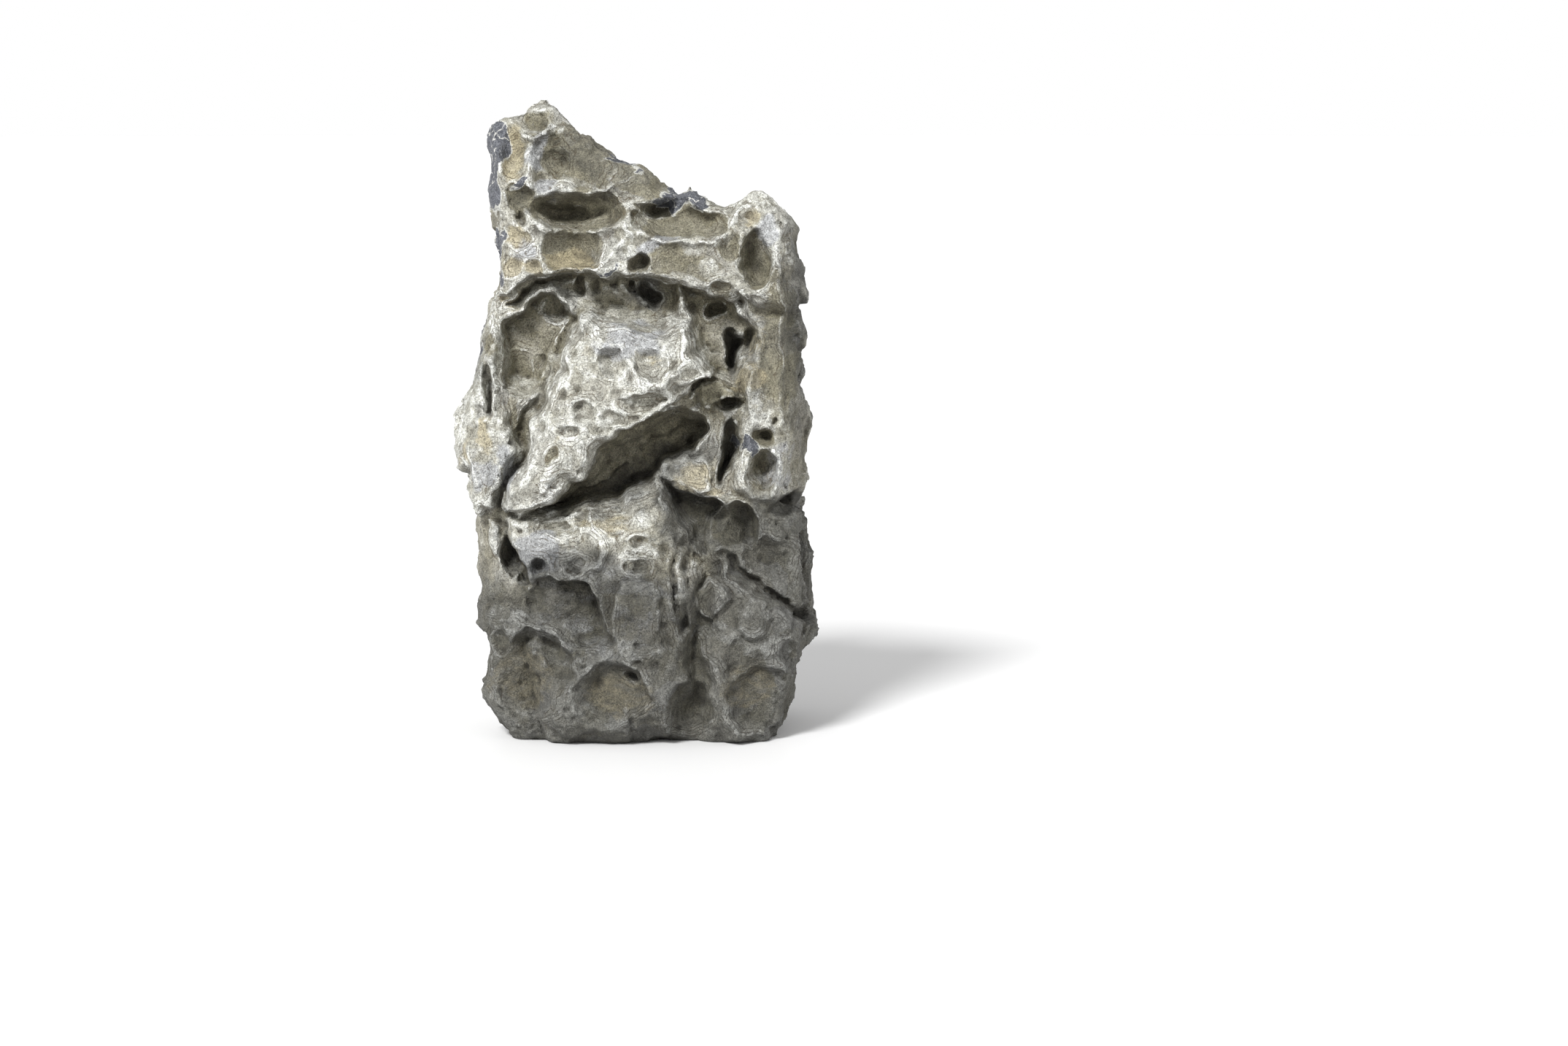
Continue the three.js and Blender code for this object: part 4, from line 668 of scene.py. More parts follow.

# The face: its masses first, then the hollows, the pits and last the crests between them
# A form toned SHADE has painted shade laid over it
FACE: tuple[Form, ...] = (
    Boss("upper mass", 13, (
        (-74, 206, 4), (-64, 205, 4), (-58, 210, 3), (-50, 214.5, 3), (-42, 218.5, 3), (-32, 220, 3),
        (-20, 219, 3), (-8, 219.5, 3), (4, 219.5, 3), (14, 219, 3), (22, 216, 4), (30, 210, 7),
        (40, 207, 6), (49, 208, 6), (58, 206, 10), (90, 200, 14), (100, 330, 40), (-90, 330, 40),
    ), lean=(0, -0.05), curve=1.5),
    Boss("left flank", 10, (
        (-80, 215, 6), (-70, 206, 5), (-64, 200, 3), (-61, 190, 3), (-62, 178, 4), (-60, 165, 6),
        (-54, 150, 8), (-50, 138, 8), (-58, 122, 6), (-64, 112, 5), (-72, 106, 6), (-90, 104, 10),
        (-100, 160, 12),
    ), curve=1.5, tone=Tone.PALE),
    Boss("right column", 9, (
        (49, 216, 4), (53, 206, 4), (57, 196, 4), (60, 189, 3), (59, 180, 3), (54, 175, 4), (53, 166, 4),
        (55, 158, 4), (52, 150, 4), (51, 140, 4), (49, 130, 5), (50, 118, 6), (60, 113, 8), (75, 112, 8),
        (100, 110, 12), (100, 220, 14),
    ), curve=1.5),
    Boss("main boss", 21, (
        (-25, 203, 4), (-20, 204.5, 4), (-12, 200, 4), (0, 198, 4), (10, 196.5, 4), (18, 196.5, 4),
        (23, 200, 4), (27, 199.5, 4), (30, 191, 5), (33, 184, 5), (38, 177, 4), (41.5, 176, 3),
        (41.5, 172, 3), (36, 170.5, 3), (30, 169.5, 3), (28, 165, 4), (22, 160, 4), (15, 156, 3),
        (8, 152.5, 3), (2, 149, 3), (-6, 147, 4), (-12, 141, 6), (-16, 133, 7), (-18, 126, 7),
        (-28, 120, 6), (-38, 113, 5), (-45, 109, 4), (-52, 107, 5), (-60, 109, 5), (-62, 114, 5),
        (-60, 121, 6), (-55, 126, 6), (-51, 133, 6), (-48, 141, 6), (-46, 148, 6), (-44, 155, 6),
        (-41, 163, 6), (-37, 170, 6), (-33, 177, 6), (-32, 184, 5), (-28, 190, 5), (-26, 196, 5),
    ), lean=(0.03, -0.05), curve=1.6, tone=Tone.PALE),
    Boss("lower boss", 14, (
        (-60, 107, 6), (-54, 110, 6), (-47, 111, 8), (-40, 108.5, 9), (-33, 109.5, 9), (-22, 111.5, 9),
        (-10, 114, 10), (0, 117.5, 10), (8, 121.5, 9), (14, 125.5, 7), (18, 120, 5), (21, 114, 5),
        (24, 108, 6), (28, 100, 8), (32, 90, 8), (34, 80, 8), (34, 66, 8), (32, 50, 10), (30, 20, 14),
        (0, -20, 14), (-40, -10, 14), (-50, 40, 10), (-50, 60, 8), (-50, 75, 6), (-51, 84, 5),
        (-54, 92, 5), (-58, 100, 5),
    ), curve=1.4),
    Boss("right base", 7, (
        (44, 92, 8), (50, 84, 6), (58, 76, 5), (66, 71, 5), (76, 62, 5), (88, 54, 6), (100, 40, 8),
        (100, -20, 14), (30, -20, 14), (36, 40, 10), (38, 60, 8), (38, 78, 8),
    )),
    Boss("boss dome", 7, (
        (-20, 196, 18), (22, 196, 18), (34, 178, 16), (22, 166, 14), (0, 154, 14), (-14, 144, 16),
        (-24, 128, 18), (-46, 116, 16), (-44, 140, 16), (-34, 170, 16),
    ), lean=(0.05, -0.05)),
    Boss("lower dome", 5, (
        (-50, 104, 14), (-20, 108, 14), (6, 116, 14), (26, 100, 16), (28, 60, 20), (-44, 60, 20),
    )),
    Boss("hollow", -20, (
        (36, 153.5, 8), (38, 148, 3), (34, 141, 3), (30, 137.5, 3), (24, 134.8, 3), (17, 131, 3),
        (14, 126, 3), (8, 121.5, 3), (0, 117.5, 3), (-10, 114, 3), (-22, 111.5, 3), (-33, 110, 3),
        (-43, 109.5, 4), (-38, 114, 8), (-28, 121, 12), (-19, 127, 16), (-15, 134, 16), (-11, 142, 16),
        (-5, 148, 16), (2, 150.5, 16), (10, 154, 16), (20, 158, 14), (28, 158, 12),
    ), curve=1.7, tone=Tone.OLIVE),
    Boss("diagonal hollow", -15, (
        (14.5, 124.5, 3), (20, 122.5, 4), (27, 119.5, 4), (35, 118, 4), (41, 116, 4), (44, 112, 5),
        (46, 104, 10), (44, 94, 12), (36, 90, 10), (29, 96, 7), (24, 105, 5), (20, 113, 4),
    ), curve=1.7, tone=Tone.SHADE),
    Boss("left panel", -13, (
        (-62, 190, 3), (-61, 197, 3), (-56, 201.5, 3), (-52, 204, 3), (-49, 207, 3), (-42, 210.5, 3),
        (-36, 211, 3), (-29, 208, 4), (-26, 200, 6), (-28, 190, 8), (-33, 180, 8), (-40, 168, 8),
        (-50, 160, 10), (-59, 166, 8), (-61, 178, 4),
    ), curve=1.5),
    Boss("mouth", -8, (
        (-40, 216, 2.5), (-32, 219.5, 2.5), (-20, 218.8, 2.5), (-8, 219.3, 2.5), (4, 219.3, 2.5),
        (14, 218.7, 2.5), (22, 216, 3), (24, 208, 4), (23, 200.5, 5), (18, 197, 6), (10, 197, 7),
        (0, 198.5, 7), (-12, 201, 7), (-20, 205, 7), (-27, 208, 6), (-34, 212, 4),
    )),
    Boss("right recess", -9, (
        (22, 216, 3), (34, 213, 4), (46, 209, 4), (52, 204, 4), (57, 196, 4), (60, 188, 4), (58, 180, 5),
        (54, 174, 5), (50, 170, 5), (42, 172, 4), (37, 178, 4), (33, 185, 4), (30, 192, 4), (28, 199, 4),
        (25, 206, 4),
    ), curve=1.5),
    Line("lip groove", (
        (-59, 205.5, 1.5, -2), (-55, 208, 3, -7), (-50, 211, 3.5, -9), (-45, 214, 3.5, -8),
        (-38, 217, 3, -5), (-30, 218, 2, -2),
    ), left=0.8, right=1.2),
    Dish("summit bowl", (-44, 292.5), (8.5, 4.6), 5, turn=18, deep=(0, -0.2), tone=Tone.OLIVE),
    Dish("tan channel", (-54.5, 276), (6.5, 14), 4.5, turn=-4, deep=(-0.3, 0), tone=Tone.OCHRE),
    Dish("great face", (-27, 275), (22, 13), 5, turn=-28, deep=(0.1, -0.3), tone=Tone.OLIVE),
    Dish("great face fold", (-38, 268), (6, 13), 4, turn=-30, deep=(0.2, 0)),
    Dish("round dish", (-50.5, 255.5), (8, 6.7), 5, deep=(-0.1, 0.2), tone=Tone.OLIVE),
    Dish("round pit", (-51.5, 247.5), (5, 4.2), 5, deep=(0, -0.2)),
    Dish("eye slot", (-24, 250.5), (23.5, 10), 18, turn=-2, deep=(-0.2, -0.25), tone=Tone.OLIVE),
    Dish("eye slot deep", (-31, 248.3), (15, 5), 7, turn=-8, deep=(0, -0.3)),
    Dish("mid bowl", (-26, 233), (14.5, 13), 9, deep=(0, -0.35), tone=Tone.OLIVE),
    Dish("left cup", (-53, 238.5), (7, 6), 3, deep=(0, -0.3), tone=Tone.OCHRE),
    Dish("lower cup", (-54.5, 224.5), (6.5, 5.5), 3, tone=Tone.OCHRE),
    Dish("lower cup right", (-44.5, 224), (5, 5), 2.6, tone=Tone.OCHRE),
    Dish("neck pit", (4.5, 226), (4.8, 5.4), 11, deep=(0, 0.2), tone=Tone.OLIVE),
    Dish("saddle trough", (25, 245.5), (25, 9), 12, turn=-4, deep=(-0.35, 0.25), tone=Tone.OLIVE),
    Dish("saddle undercut", (12.5, 251.3), (10.5, 3.8), 11, turn=-8),
    Dish("great pit", (60, 226.5), (7.8, 13.5), 12, turn=3, deep=(-0.35, 0), tone=Tone.OLIVE),
    Dish("peak dish", (57, 247), (4.5, 6), 2, turn=-15),
    Dish("peak cup", (63, 256.5), (3, 2.5), 1.2),
    Dish("peak eye", (71.5, 243.5), (3, 2.6), 2.5),
    Dish("saddle cup", (49, 234), (7, 7.5), 3, turn=-30, tone=Tone.OLIVE),
    Dish("mid right dish", (43.5, 212.5), (5.5, 5.3), 6, deep=(-0.2, 0.2), tone=Tone.OLIVE),
    Dish("mid right pit", (41, 203), (5.5, 3.5), 8, turn=15, tone=Tone.OLIVE),
    Dish("mouth pit 1", (-23, 214.5), (2.6, 4.6), 4),
    Dish("mouth pit 2", (-17, 214), (2, 3.6), 3),
    Dish("mouth pit 3", (-8.5, 216), (3.4, 2.6), 3.5),
    Dish("mouth pit 4", (2.2, 214.8), (2.8, 3), 5),
    Dish("mouth slot", (10, 210), (3.6, 8.2), 9, turn=24, deep=(0, -0.2)),
    Dish("mouth apron", (-10, 206), (9, 6), 2),
    Dish("flank rib cup", (-66, 187), (3.6, 5.2), 3, tone=Tone.OLIVE),
    Dish("flank slot", (-67, 166.5), (3.6, 14.5), 12, turn=-2, deep=(0.3, -0.3)),
    Dish("flank cup", (-71, 156), (4, 4.5), 3),
    Dish("panel dish", (-35.5, 201.5), (6, 6), 4, turn=20, deep=(0.3, -0.3)),
    Dish("panel low", (-54, 176), (8, 9), 2.5),
    Dish("boss dish left", (-7.5, 181.5), (7.5, 8), 5, deep=(0, 0.3)),
    Dish("boss dish right", (10.5, 179.5), (8, 9), 5.5, deep=(-0.4, 0.1)),
    Dish("boss dish far", (24.5, 168), (6, 6.5), 4.5, turn=-30, deep=(-0.2, 0.3)),
    Dish("boss shelf", (8, 163), (14, 4.8), 5, turn=4, deep=(0, 0.3)),
    Dish("boss scoop", (-19.5, 157.5), (5.5, 6.5), 5, turn=20, deep=(-0.2, 0.3)),
    Dish("boss scoop low", (-27.5, 149), (7.5, 3.2), 4, deep=(0, 0.3)),
    Dish("boss scoop right", (-9, 153), (9, 7), 4, turn=25),
    Dish("boss cup", (-36.3, 138), (2.9, 3.6), 2, tone=Tone.OLIVE),
    Dish("boss hollow foot", (-34, 126), (7, 3.5), 2.5),
    Line("boss furrow", (
        (-28, 200, 4, -3), (-33, 188, 5, -5), (-36, 178, 5, -5), (-42, 168, 5, -5), (-48, 156, 5, -4),
        (-52, 142, 5, -4), (-58, 128, 5, -4), (-64, 116, 5, -3),
    ), left=1.4, right=0.5, curve=1.3),
    Dish("boss nick", (-30, 182), (3, 4.5), 2.5, turn=10),
    Line("boss crest", (
        (-24, 202, 5, 1.5), (-14, 196, 5, 2), (-13, 188, 5, 2.5), (-1, 188, 4, 2), (2, 179, 4, 3),
        (3, 172, 4, 2.5), (8, 169, 4, 2), (15, 172, 4, 1.5),
    )),
    Line("boss crest right", (
        (25, 199, 4, 1.5), (25, 188, 4, 2), (27, 181, 4, 2.5), (20, 176, 4, 2.5), (17, 172, 4, 2),
    )),
    Dish("slot", (46.5, 137), (4.2, 16), 15, turn=-12, deep=(0.3, -0.1), tone=Tone.SHADE),
    Dish("long pit", (63.5, 127.5), (7.4, 12.8), 16, turn=-3, deep=(0.1, 0.1)),
    Dish("arch pit", (63, 145.5), (6, 6), 9, deep=(0, 0.3), tone=Tone.OLIVE),
    Dish("upper slot", (49.5, 184), (4.2, 11), 14, turn=8, deep=(0, -0.3), tone=Tone.SHADE),
    Dish("upper slot side", (54.5, 187), (5, 9), 7, turn=-20),
    Boss("knot", 5, (
        (33, 163, 3), (34, 168, 3), (38, 171, 3), (46, 171, 3), (50, 167, 3), (50, 161, 3), (43, 159, 3),
        (38, 155, 3), (34, 157, 3),
    ), tone=Tone.OLIVE),
    Dish("knot shadow", (47, 158.5), (7, 3.5), 11, turn=10),
    Dish("right small pit", (68.7, 152.7), (1.6, 2.6), 3),
    Boss("lower facet", 3.5, (
        (15.5, 126, 2), (17, 131, 2), (26, 135.3, 2), (35, 136.3, 2), (37.5, 131, 2), (39, 124, 2),
        (40, 119.5, 2), (35, 118.7, 2), (27, 120, 2), (20, 123, 2),
    ), curve=1.2, tone=Tone.PALE),
    Dish("bowl", (51, 102.5), (11.5, 11), 13, deep=(0.35, 0.3), tone=Tone.OLIVE),
    Dish("bowl low", (56, 97), (5.5, 5.5), 2.5),
    Dish("right undercut", (74, 112), (9, 5.5), 13, turn=8, tone=Tone.SHADE),
    Dish("right shade", (67, 86), (16, 12), 6, turn=-25, tone=Tone.SHADE),
    Line("right crack", (
        (44, 90, 3, -3), (49, 83, 4, -8), (56, 76.5, 4.5, -8), (64, 72, 4.5, -6), (72, 66, 5, -8),
        (80, 58.5, 4.5, -8), (90, 52, 4, -4),
    )),
    Boss("base cobble", 2.5, (
        (51, 62, 2.5), (54, 68, 2.5), (60, 71, 2.5), (66, 68, 2.5), (68, 60, 2.5), (66, 53, 2.5),
        (60, 49, 2.5), (54, 50, 2.5), (51, 55, 2.5),
    )),
    Boss("arch hollow", -13, (
        (-48, 76, 5), (-44, 80, 4), (-38, 82, 3), (-33, 80.5, 2.5), (-25, 80.5, 2.5), (-18, 80, 2.5),
        (-14.5, 75, 2.5), (-13.5, 68, 3), (-10, 60, 5), (-8, 50, 9), (-14, 38, 16), (-38, 36, 18),
        (-50, 48, 14), (-51, 66, 9),
    ), curve=1.6, tone=Tone.SHADE),
    Dish("arch lip", (-26, 86), (6, 4.5), 3),
    Dish("left dark pit", (-42, 84.5), (4, 5), 7, tone=Tone.SHADE),
    Dish("under arc", (-32, 103), (7.5, 4), 3, deep=(0, 0.4), tone=Tone.OLIVE),
    Dish("face scoop", (4, 99), (6, 3), 2),
    Dish("face scoop low", (5, 86.5), (7, 4.5), 2.5, deep=(0, -0.3)),
    Dish("face scoop right", (17.5, 92), (2.6, 5.5), 2),
    Boss("panel", 3.5, (
        (-9, 47, 4), (-7.5, 58, 2.5), (-7, 72, 2), (-3, 78, 2), (2, 80, 1.6), (9, 79.3, 1.6),
        (13, 80, 1.6), (15.5, 75, 2), (15, 66, 2), (15.5, 56, 2.5), (18, 46, 4), (12, 38, 7),
        (-2, 38, 7),
    ), curve=1.3),
    Boss("wedge panel", 3.5, (
        (33, 74, 2), (36, 79.5, 2), (44, 79.5, 2), (47, 76, 2), (49.5, 72, 2), (46, 68, 2), (43, 63, 2),
        (40, 58, 2), (37, 57, 2), (33, 62, 2), (31, 69, 2),
    ), curve=1.2),
    Dish("fissure", (25.8, 60), (3.4, 9), 7, turn=-6, tone=Tone.SHADE),
    Line("seam 1", (
        (24, 92, 1.5, -1), (22.5, 86, 2, -3), (21, 78, 2, -3), (20.5, 70, 2, -3), (23, 64, 2, -3),
    )),
    Line("seam 2", ((29, 92, 1.5, -1), (28.5, 86, 2.5, -4), (27, 80, 2, -3), (28, 74, 2, -3))),
    Dish("pillar recess", (-57, 88), (5, 11), 15, turn=4, tone=Tone.SHADE),
    Dish("pillar recess low", (-50, 80), (7, 5), 10, turn=-30),
    Boss("pillar facet", 3, (
        (-68, 106, 2.5), (-62, 102, 2.5), (-61, 92, 2.5), (-64.5, 87.5, 2.5), (-67, 93, 2.5),
        (-68.5, 99, 2.5),
    ), tone=Tone.PALE),
    Line("summit crest", (
        (-60, 292, 4, 1.5), (-50, 286, 3.5, 2.5), (-44, 284, 3.5, 3), (-40, 288, 3, 2), (-36, 298, 3, 1),
    )),
    Line("channel crest", (
        (-46, 284, 3.5, 2), (-46.5, 272, 3.5, 3), (-47, 262, 3.5, 3), (-43, 258, 3, 2),
    )),
    Line("slate edge", ((-66, 290, 4, 1), (-61, 276, 4, 3), (-61, 262, 4, 3), (-58, 258, 3, 2))),
    Line("face crest", (
        (-43, 262, 3, 1.5), (-30, 262, 3.5, 2.5), (-20, 262, 3.5, 2.5), (-12, 259, 3.5, 2),
        (-4, 264, 3, 1), (4, 268, 3, 1),
    )),
    Line("brow", (
        (-58, 244, 3, 1.5), (-52, 241, 4, 2), (-44, 244, 5, 2.5), (-36, 240, 5, 2), (-24, 241, 4, 1),
        (-14, 242, 5, 2.5), (-2, 243, 6, 3), (2, 238, 5, 2),
    )),
    Line("centre crest", (
        (-4, 250, 5, 1.5), (0, 240, 7, 3.5), (-4, 232, 7, 4), (-10, 226, 6, 3.5), (-18, 222, 4, 2),
    ), curve=1.3),
    Line("saddle crest", (
        (6, 240, 4, 2), (18, 237, 4, 2.5), (30, 235, 4, 2.5), (38, 234, 4, 2.5), (44, 240, 4, 3),
        (50, 246, 4, 3), (56, 253, 4, 2),
    )),
    Line("knob crest", ((52, 240, 4, 2), (55, 232, 4, 3), (54, 222, 4, 2), (52, 216, 3, 1))),
    Line("knob edge", (
        (74, 244, 4, 1), (70, 236, 4, 3), (70, 226, 4, 3), (72, 214, 4, 2), (75, 206, 4, 1),
    )),
    Line("right edge", (
        (75, 206, 4, 2), (72, 194, 4, 3), (74, 182, 4, 2.5), (70, 172, 4, 3), (71, 160, 4, 2),
        (74, 150, 4, 2),
    )),
    Line("column crest", (
        (54, 204, 3, 1), (58, 194, 3.5, 3), (60, 184, 3.5, 3), (58, 172, 3.5, 2.5), (56, 164, 3, 2),
        (58, 154, 3, 2), (56, 146, 3, 1),
    )),
    Line("flank crest", (
        (-70, 204, 4, 1), (-66, 196, 4, 3), (-65, 182, 4, 2), (-60, 170, 5, 3), (-58, 152, 6, 3.5),
        (-55, 138, 5, 3), (-62, 120, 5, 2), (-66, 110, 4, 1),
    ), curve=1.3),
    Line("flank outer crest", (
        (-75, 190, 3, 1), (-73, 176, 3.5, 2.5), (-76, 160, 4, 3), (-78, 146, 5, 3), (-74, 130, 5, 2.5),
        (-70, 116, 5, 1.5),
    ), curve=1.3),
    Line("boss keel", (
        (-26, 192, 5, 1), (-32, 178, 5, 3), (-40, 164, 5, 2.5), (-44, 150, 5, 3), (-46, 138, 5, 2.5),
        (-52, 126, 5, 3), (-58, 114, 4, 2),
    ), left=0.7, right=1.4, curve=1.3),
    Line("boss brow", (
        (41, 174, 4, 2), (34, 168, 4, 2.5), (24, 160, 4, 3), (14, 154, 4, 3), (4, 150.5, 4, 3),
        (-6, 148, 4, 3), (-14, 142, 4, 3), (-18, 132, 4, 3), (-26, 122, 4, 3), (-36, 115.5, 4, 3),
        (-48, 110, 4, 2),
    ), left=0.6, right=1.3, curve=1.3),
    Line("lower brow", (
        (-60, 106, 4, 2), (-50, 106, 5, 4), (-38, 106, 5, 4), (-22, 109, 5, 3), (-8, 112, 5, 3.5),
        (6, 118, 4, 3), (14, 124, 3, 2), (20, 114, 4, 2), (27, 102, 4, 3), (32, 92, 4, 2),
    ), curve=1.3),
    Line("arch crest", (
        (-18, 108, 4, 2), (-12, 98, 5, 3), (-13, 88, 4, 3), (-20, 84, 3, 2), (-28, 88, 4, 2),
    )),
    Dish("foot hollow left", (-46, 34), (20, 22), 11, turn=-22, deep=(0.2, 0.4)),
    Dish("foot scoop", (-8, 26), (19, 15), 9, turn=12, deep=(-0.2, 0.45)),
    Dish("foot hollow right", (64, 20), (20, 17), 9, turn=-16, deep=(-0.2, 0.4)),
    Dish("foot cup", (28, 18), (12, 13), 6, turn=20, deep=(0.2, 0.3)),
    Line("foot ledge", (
        (-80, 60, 6, 2), (-60, 58, 7, 5), (-40, 54, 7, 5), (-22, 46, 6, 4), (-8, 44, 6, 3),
        (6, 38, 5, 4), (16, 26, 6, 4), (18, 8, 8, 5),
    ), left=1.4, curve=1.3),
    Line("foot rib", ((34, 50, 5, 2), (42, 38, 7, 5), (46, 22, 8, 5), (52, 4, 9, 6)), curve=1.3),
    Dish("foot pit 1", (-62, 48), (5, 6), 5, deep=(0, 0.3)),
    Dish("foot pit 2", (2, 34), (5, 4), 4, deep=(0, 0.3)),
    Dish("foot pit 3", (76, 42), (6, 7), 6, deep=(0, 0.3)),
)

# The back, seen from the front, so x keeps its sense
BACK: tuple[Form, ...] = (
    Boss("spine", 8, (
        (-8, -10, 16), (-2, 40, 14), (-20, 92, 12), (-12, 140, 10), (-30, 190, 12), (-50, 232, 14),
        (-60, 300, 14), (-24, 300, 14), (-12, 240, 12), (14, 206, 9), (30, 160, 10), (34, 116, 12),
        (50, 66, 12), (56, -10, 16),
    )),
    Boss("shoulder", 9, (
        (28, 262, 10), (20, 232, 8), (34, 204, 6), (62, 196, 6), (90, 204, 10), (100, 262, 16),
    )),
    Boss("step", 8, (
        (-100, 132, 14), (-60, 140, 10), (-20, 128, 8), (4, 134, 8), (34, 120, 10), (60, 116, 8),
        (100, 124, 14), (100, 20, 40), (-100, 20, 40),
    ), curve=1.6),
    Boss("foot", 11, (
        (30, -20, 14), (36, 28, 10), (50, 52, 7), (74, 60, 7), (100, 50, 14), (100, -20, 16),
    )),
    Boss("ledge", 10, (
        (-100, 118, 12), (-78, 126, 7), (-56, 132, 5), (-44, 122, 5), (-46, 108, 5), (-66, 98, 6),
        (-84, 92, 8), (-100, 90, 14),
    )),
    Boss("plate", 7, (
        (-70, 206, 5), (-58, 222, 4), (-38, 218, 4), (-30, 196, 5), (-36, 168, 8), (-56, 158, 8),
        (-70, 172, 6),
    ), lean=(0.05, -0.1)),
    Dish("hollow", (52, 154), (27, 33), 17, turn=18, deep=(-0.3, 0.35)),
    Dish("lap", (-46, 118), (34, 46), 12, turn=-24, deep=(0.3, 0.3)),
    Dish("foot hollow", (-34, 34), (30, 30), 11, turn=14, deep=(0.1, 0.5)),
    Dish("slope", (34, 248), (30, 20), 8, turn=-30, deep=(-0.3, -0.3)),
    Dish("hollow deep", (40, 168), (10, 14), 6, turn=30, deep=(0, 0.3)),
    Dish("scoop", (-58, 60), (17, 24), 9, turn=-14, deep=(0.3, 0.3)),
    Dish("cup", (12, 262), (13, 8), 6, turn=-24),
    Dish("cup low", (-8, 84), (9, 15), 5, turn=12, deep=(0.2, 0.3)),
    Dish("cup mid", (-12, 168), (8, 12), 4.5, turn=-20),
    Dish("pit 1", (60, 232), (9, 7), 6, deep=(0, 0.3)),
    Dish("pit 2", (44, 214), (5, 6), 5),
    Dish("pit 3", (-48, 252), (9, 11), 5, deep=(0.3, 0)),
    Dish("pit 4", (24, 34), (8, 10), 6, turn=20),
    Dish("pit 5", (66, 96), (10, 8), 7, deep=(0, 0.3)),
    Dish("pit 6", (2, 208), (6, 5), 5),
    Dish("pit 7", (-28, 28), (9, 7), 5),
    Line("crack", (
        (90, 128, 3, -3), (70, 122, 4, -7), (48, 112, 4, -8), (30, 100, 4, -7), (24, 84, 3, -4),
    ), left=1.4),
    Line("seam", (
        (-74, 150, 3, -2), (-60, 146, 4, -6), (-44, 150, 4, -6), (-30, 144, 3, -3),
    ), right=1.5),
    Line("rib", ((34, 118, 7, 3), (46, 90, 8, 6), (58, 70, 7, 4), (70, 66, 6, 2))),
)

# What sets the wandering of each flank's forms apart
LEFT = 0.0
RIGHT = 20.0

# The flanks, over y and z
LEFT_FLANK: tuple[Form, ...] = (
    Dish("hollow", (22, 86), (22, 30), 11, turn=14, deep=(0.2, 0.3)),
    Dish("scoop", (6, 206), (16, 20), 7, turn=-20, deep=(0, 0.3)),
    Dish("cup 1", (-22, 150), (9, 13), 5, turn=10),
    Dish("cup 2", (20, 160), (11, 10), 5, deep=(0, 0.3)),
    Dish("cup 3", (4, 262), (9, 12), 4),
    Dish("cup 4", (-18, 40), (12, 15), 6, deep=(0.3, 0.2)),
    Dish("cup 5", (26, 24), (10, 9), 5),
    Dish("cup 6", (-14, 96), (7, 10), 4),
    Line("groove", ((-40, 128, 4, -3), (-16, 122, 5, -6), (8, 126, 5, -7), (34, 118, 5, -5)), right=1.5),
    Line("seam", ((-20, 240, 3, -2), (-2, 232, 4, -5), (20, 236, 4, -4)), left=1.4),
)

RIGHT_FLANK: tuple[Form, ...] = (
    Dish("hollow", (16, 130), (22, 24), 9, turn=-16, deep=(0.2, 0.3)),
    Dish("scoop", (-10, 222), (12, 13), 5, deep=(-0.2, 0.3)),
    Dish("cup 1", (20, 184), (11, 12), 5, turn=20),
    Dish("cup 2", (-22, 170), (8, 9), 3.5),
    Dish("cup 3", (-18, 84), (13, 16), 6, turn=12, deep=(0.3, 0)),
    Dish("cup 4", (26, 62), (12, 12), 6, deep=(0, 0.3)),
    Dish("cup 5", (-8, 32), (10, 12), 4.5),
    Dish("cup 6", (8, 240), (7, 6), 4),
    Line("groove", ((-44, 108, 4, -3), (-22, 112, 5, -7), (4, 102, 5, -7), (30, 104, 4, -4)), left=1.5),
    Line("seam", ((-36, 60, 3, -3), (-14, 54, 4, -6), (10, 60, 4, -5), (32, 48, 3, -3)), left=1.5),
)


@dataclass(frozen=True)
class Patch:
    """A place that shows a tone, as an ellipse over x and z, on the face alone or all round."""

    name: str
    middle: Pair
    radii: Pair
    strength: float = 1.0
    turn: float = 0.0
    soft: float = TONE_FADE
    all_round: bool = False

    def cover(self, x: Array, z: Array) -> Array:
        """Is the strength well inside the ellipse, half of it at the edge and 0 well outside."""
        away = Dish(self.name, self.middle, self.radii, 0.0, self.turn).outside(x, z)
        return self.strength * fade(away, self.soft, -self.soft)


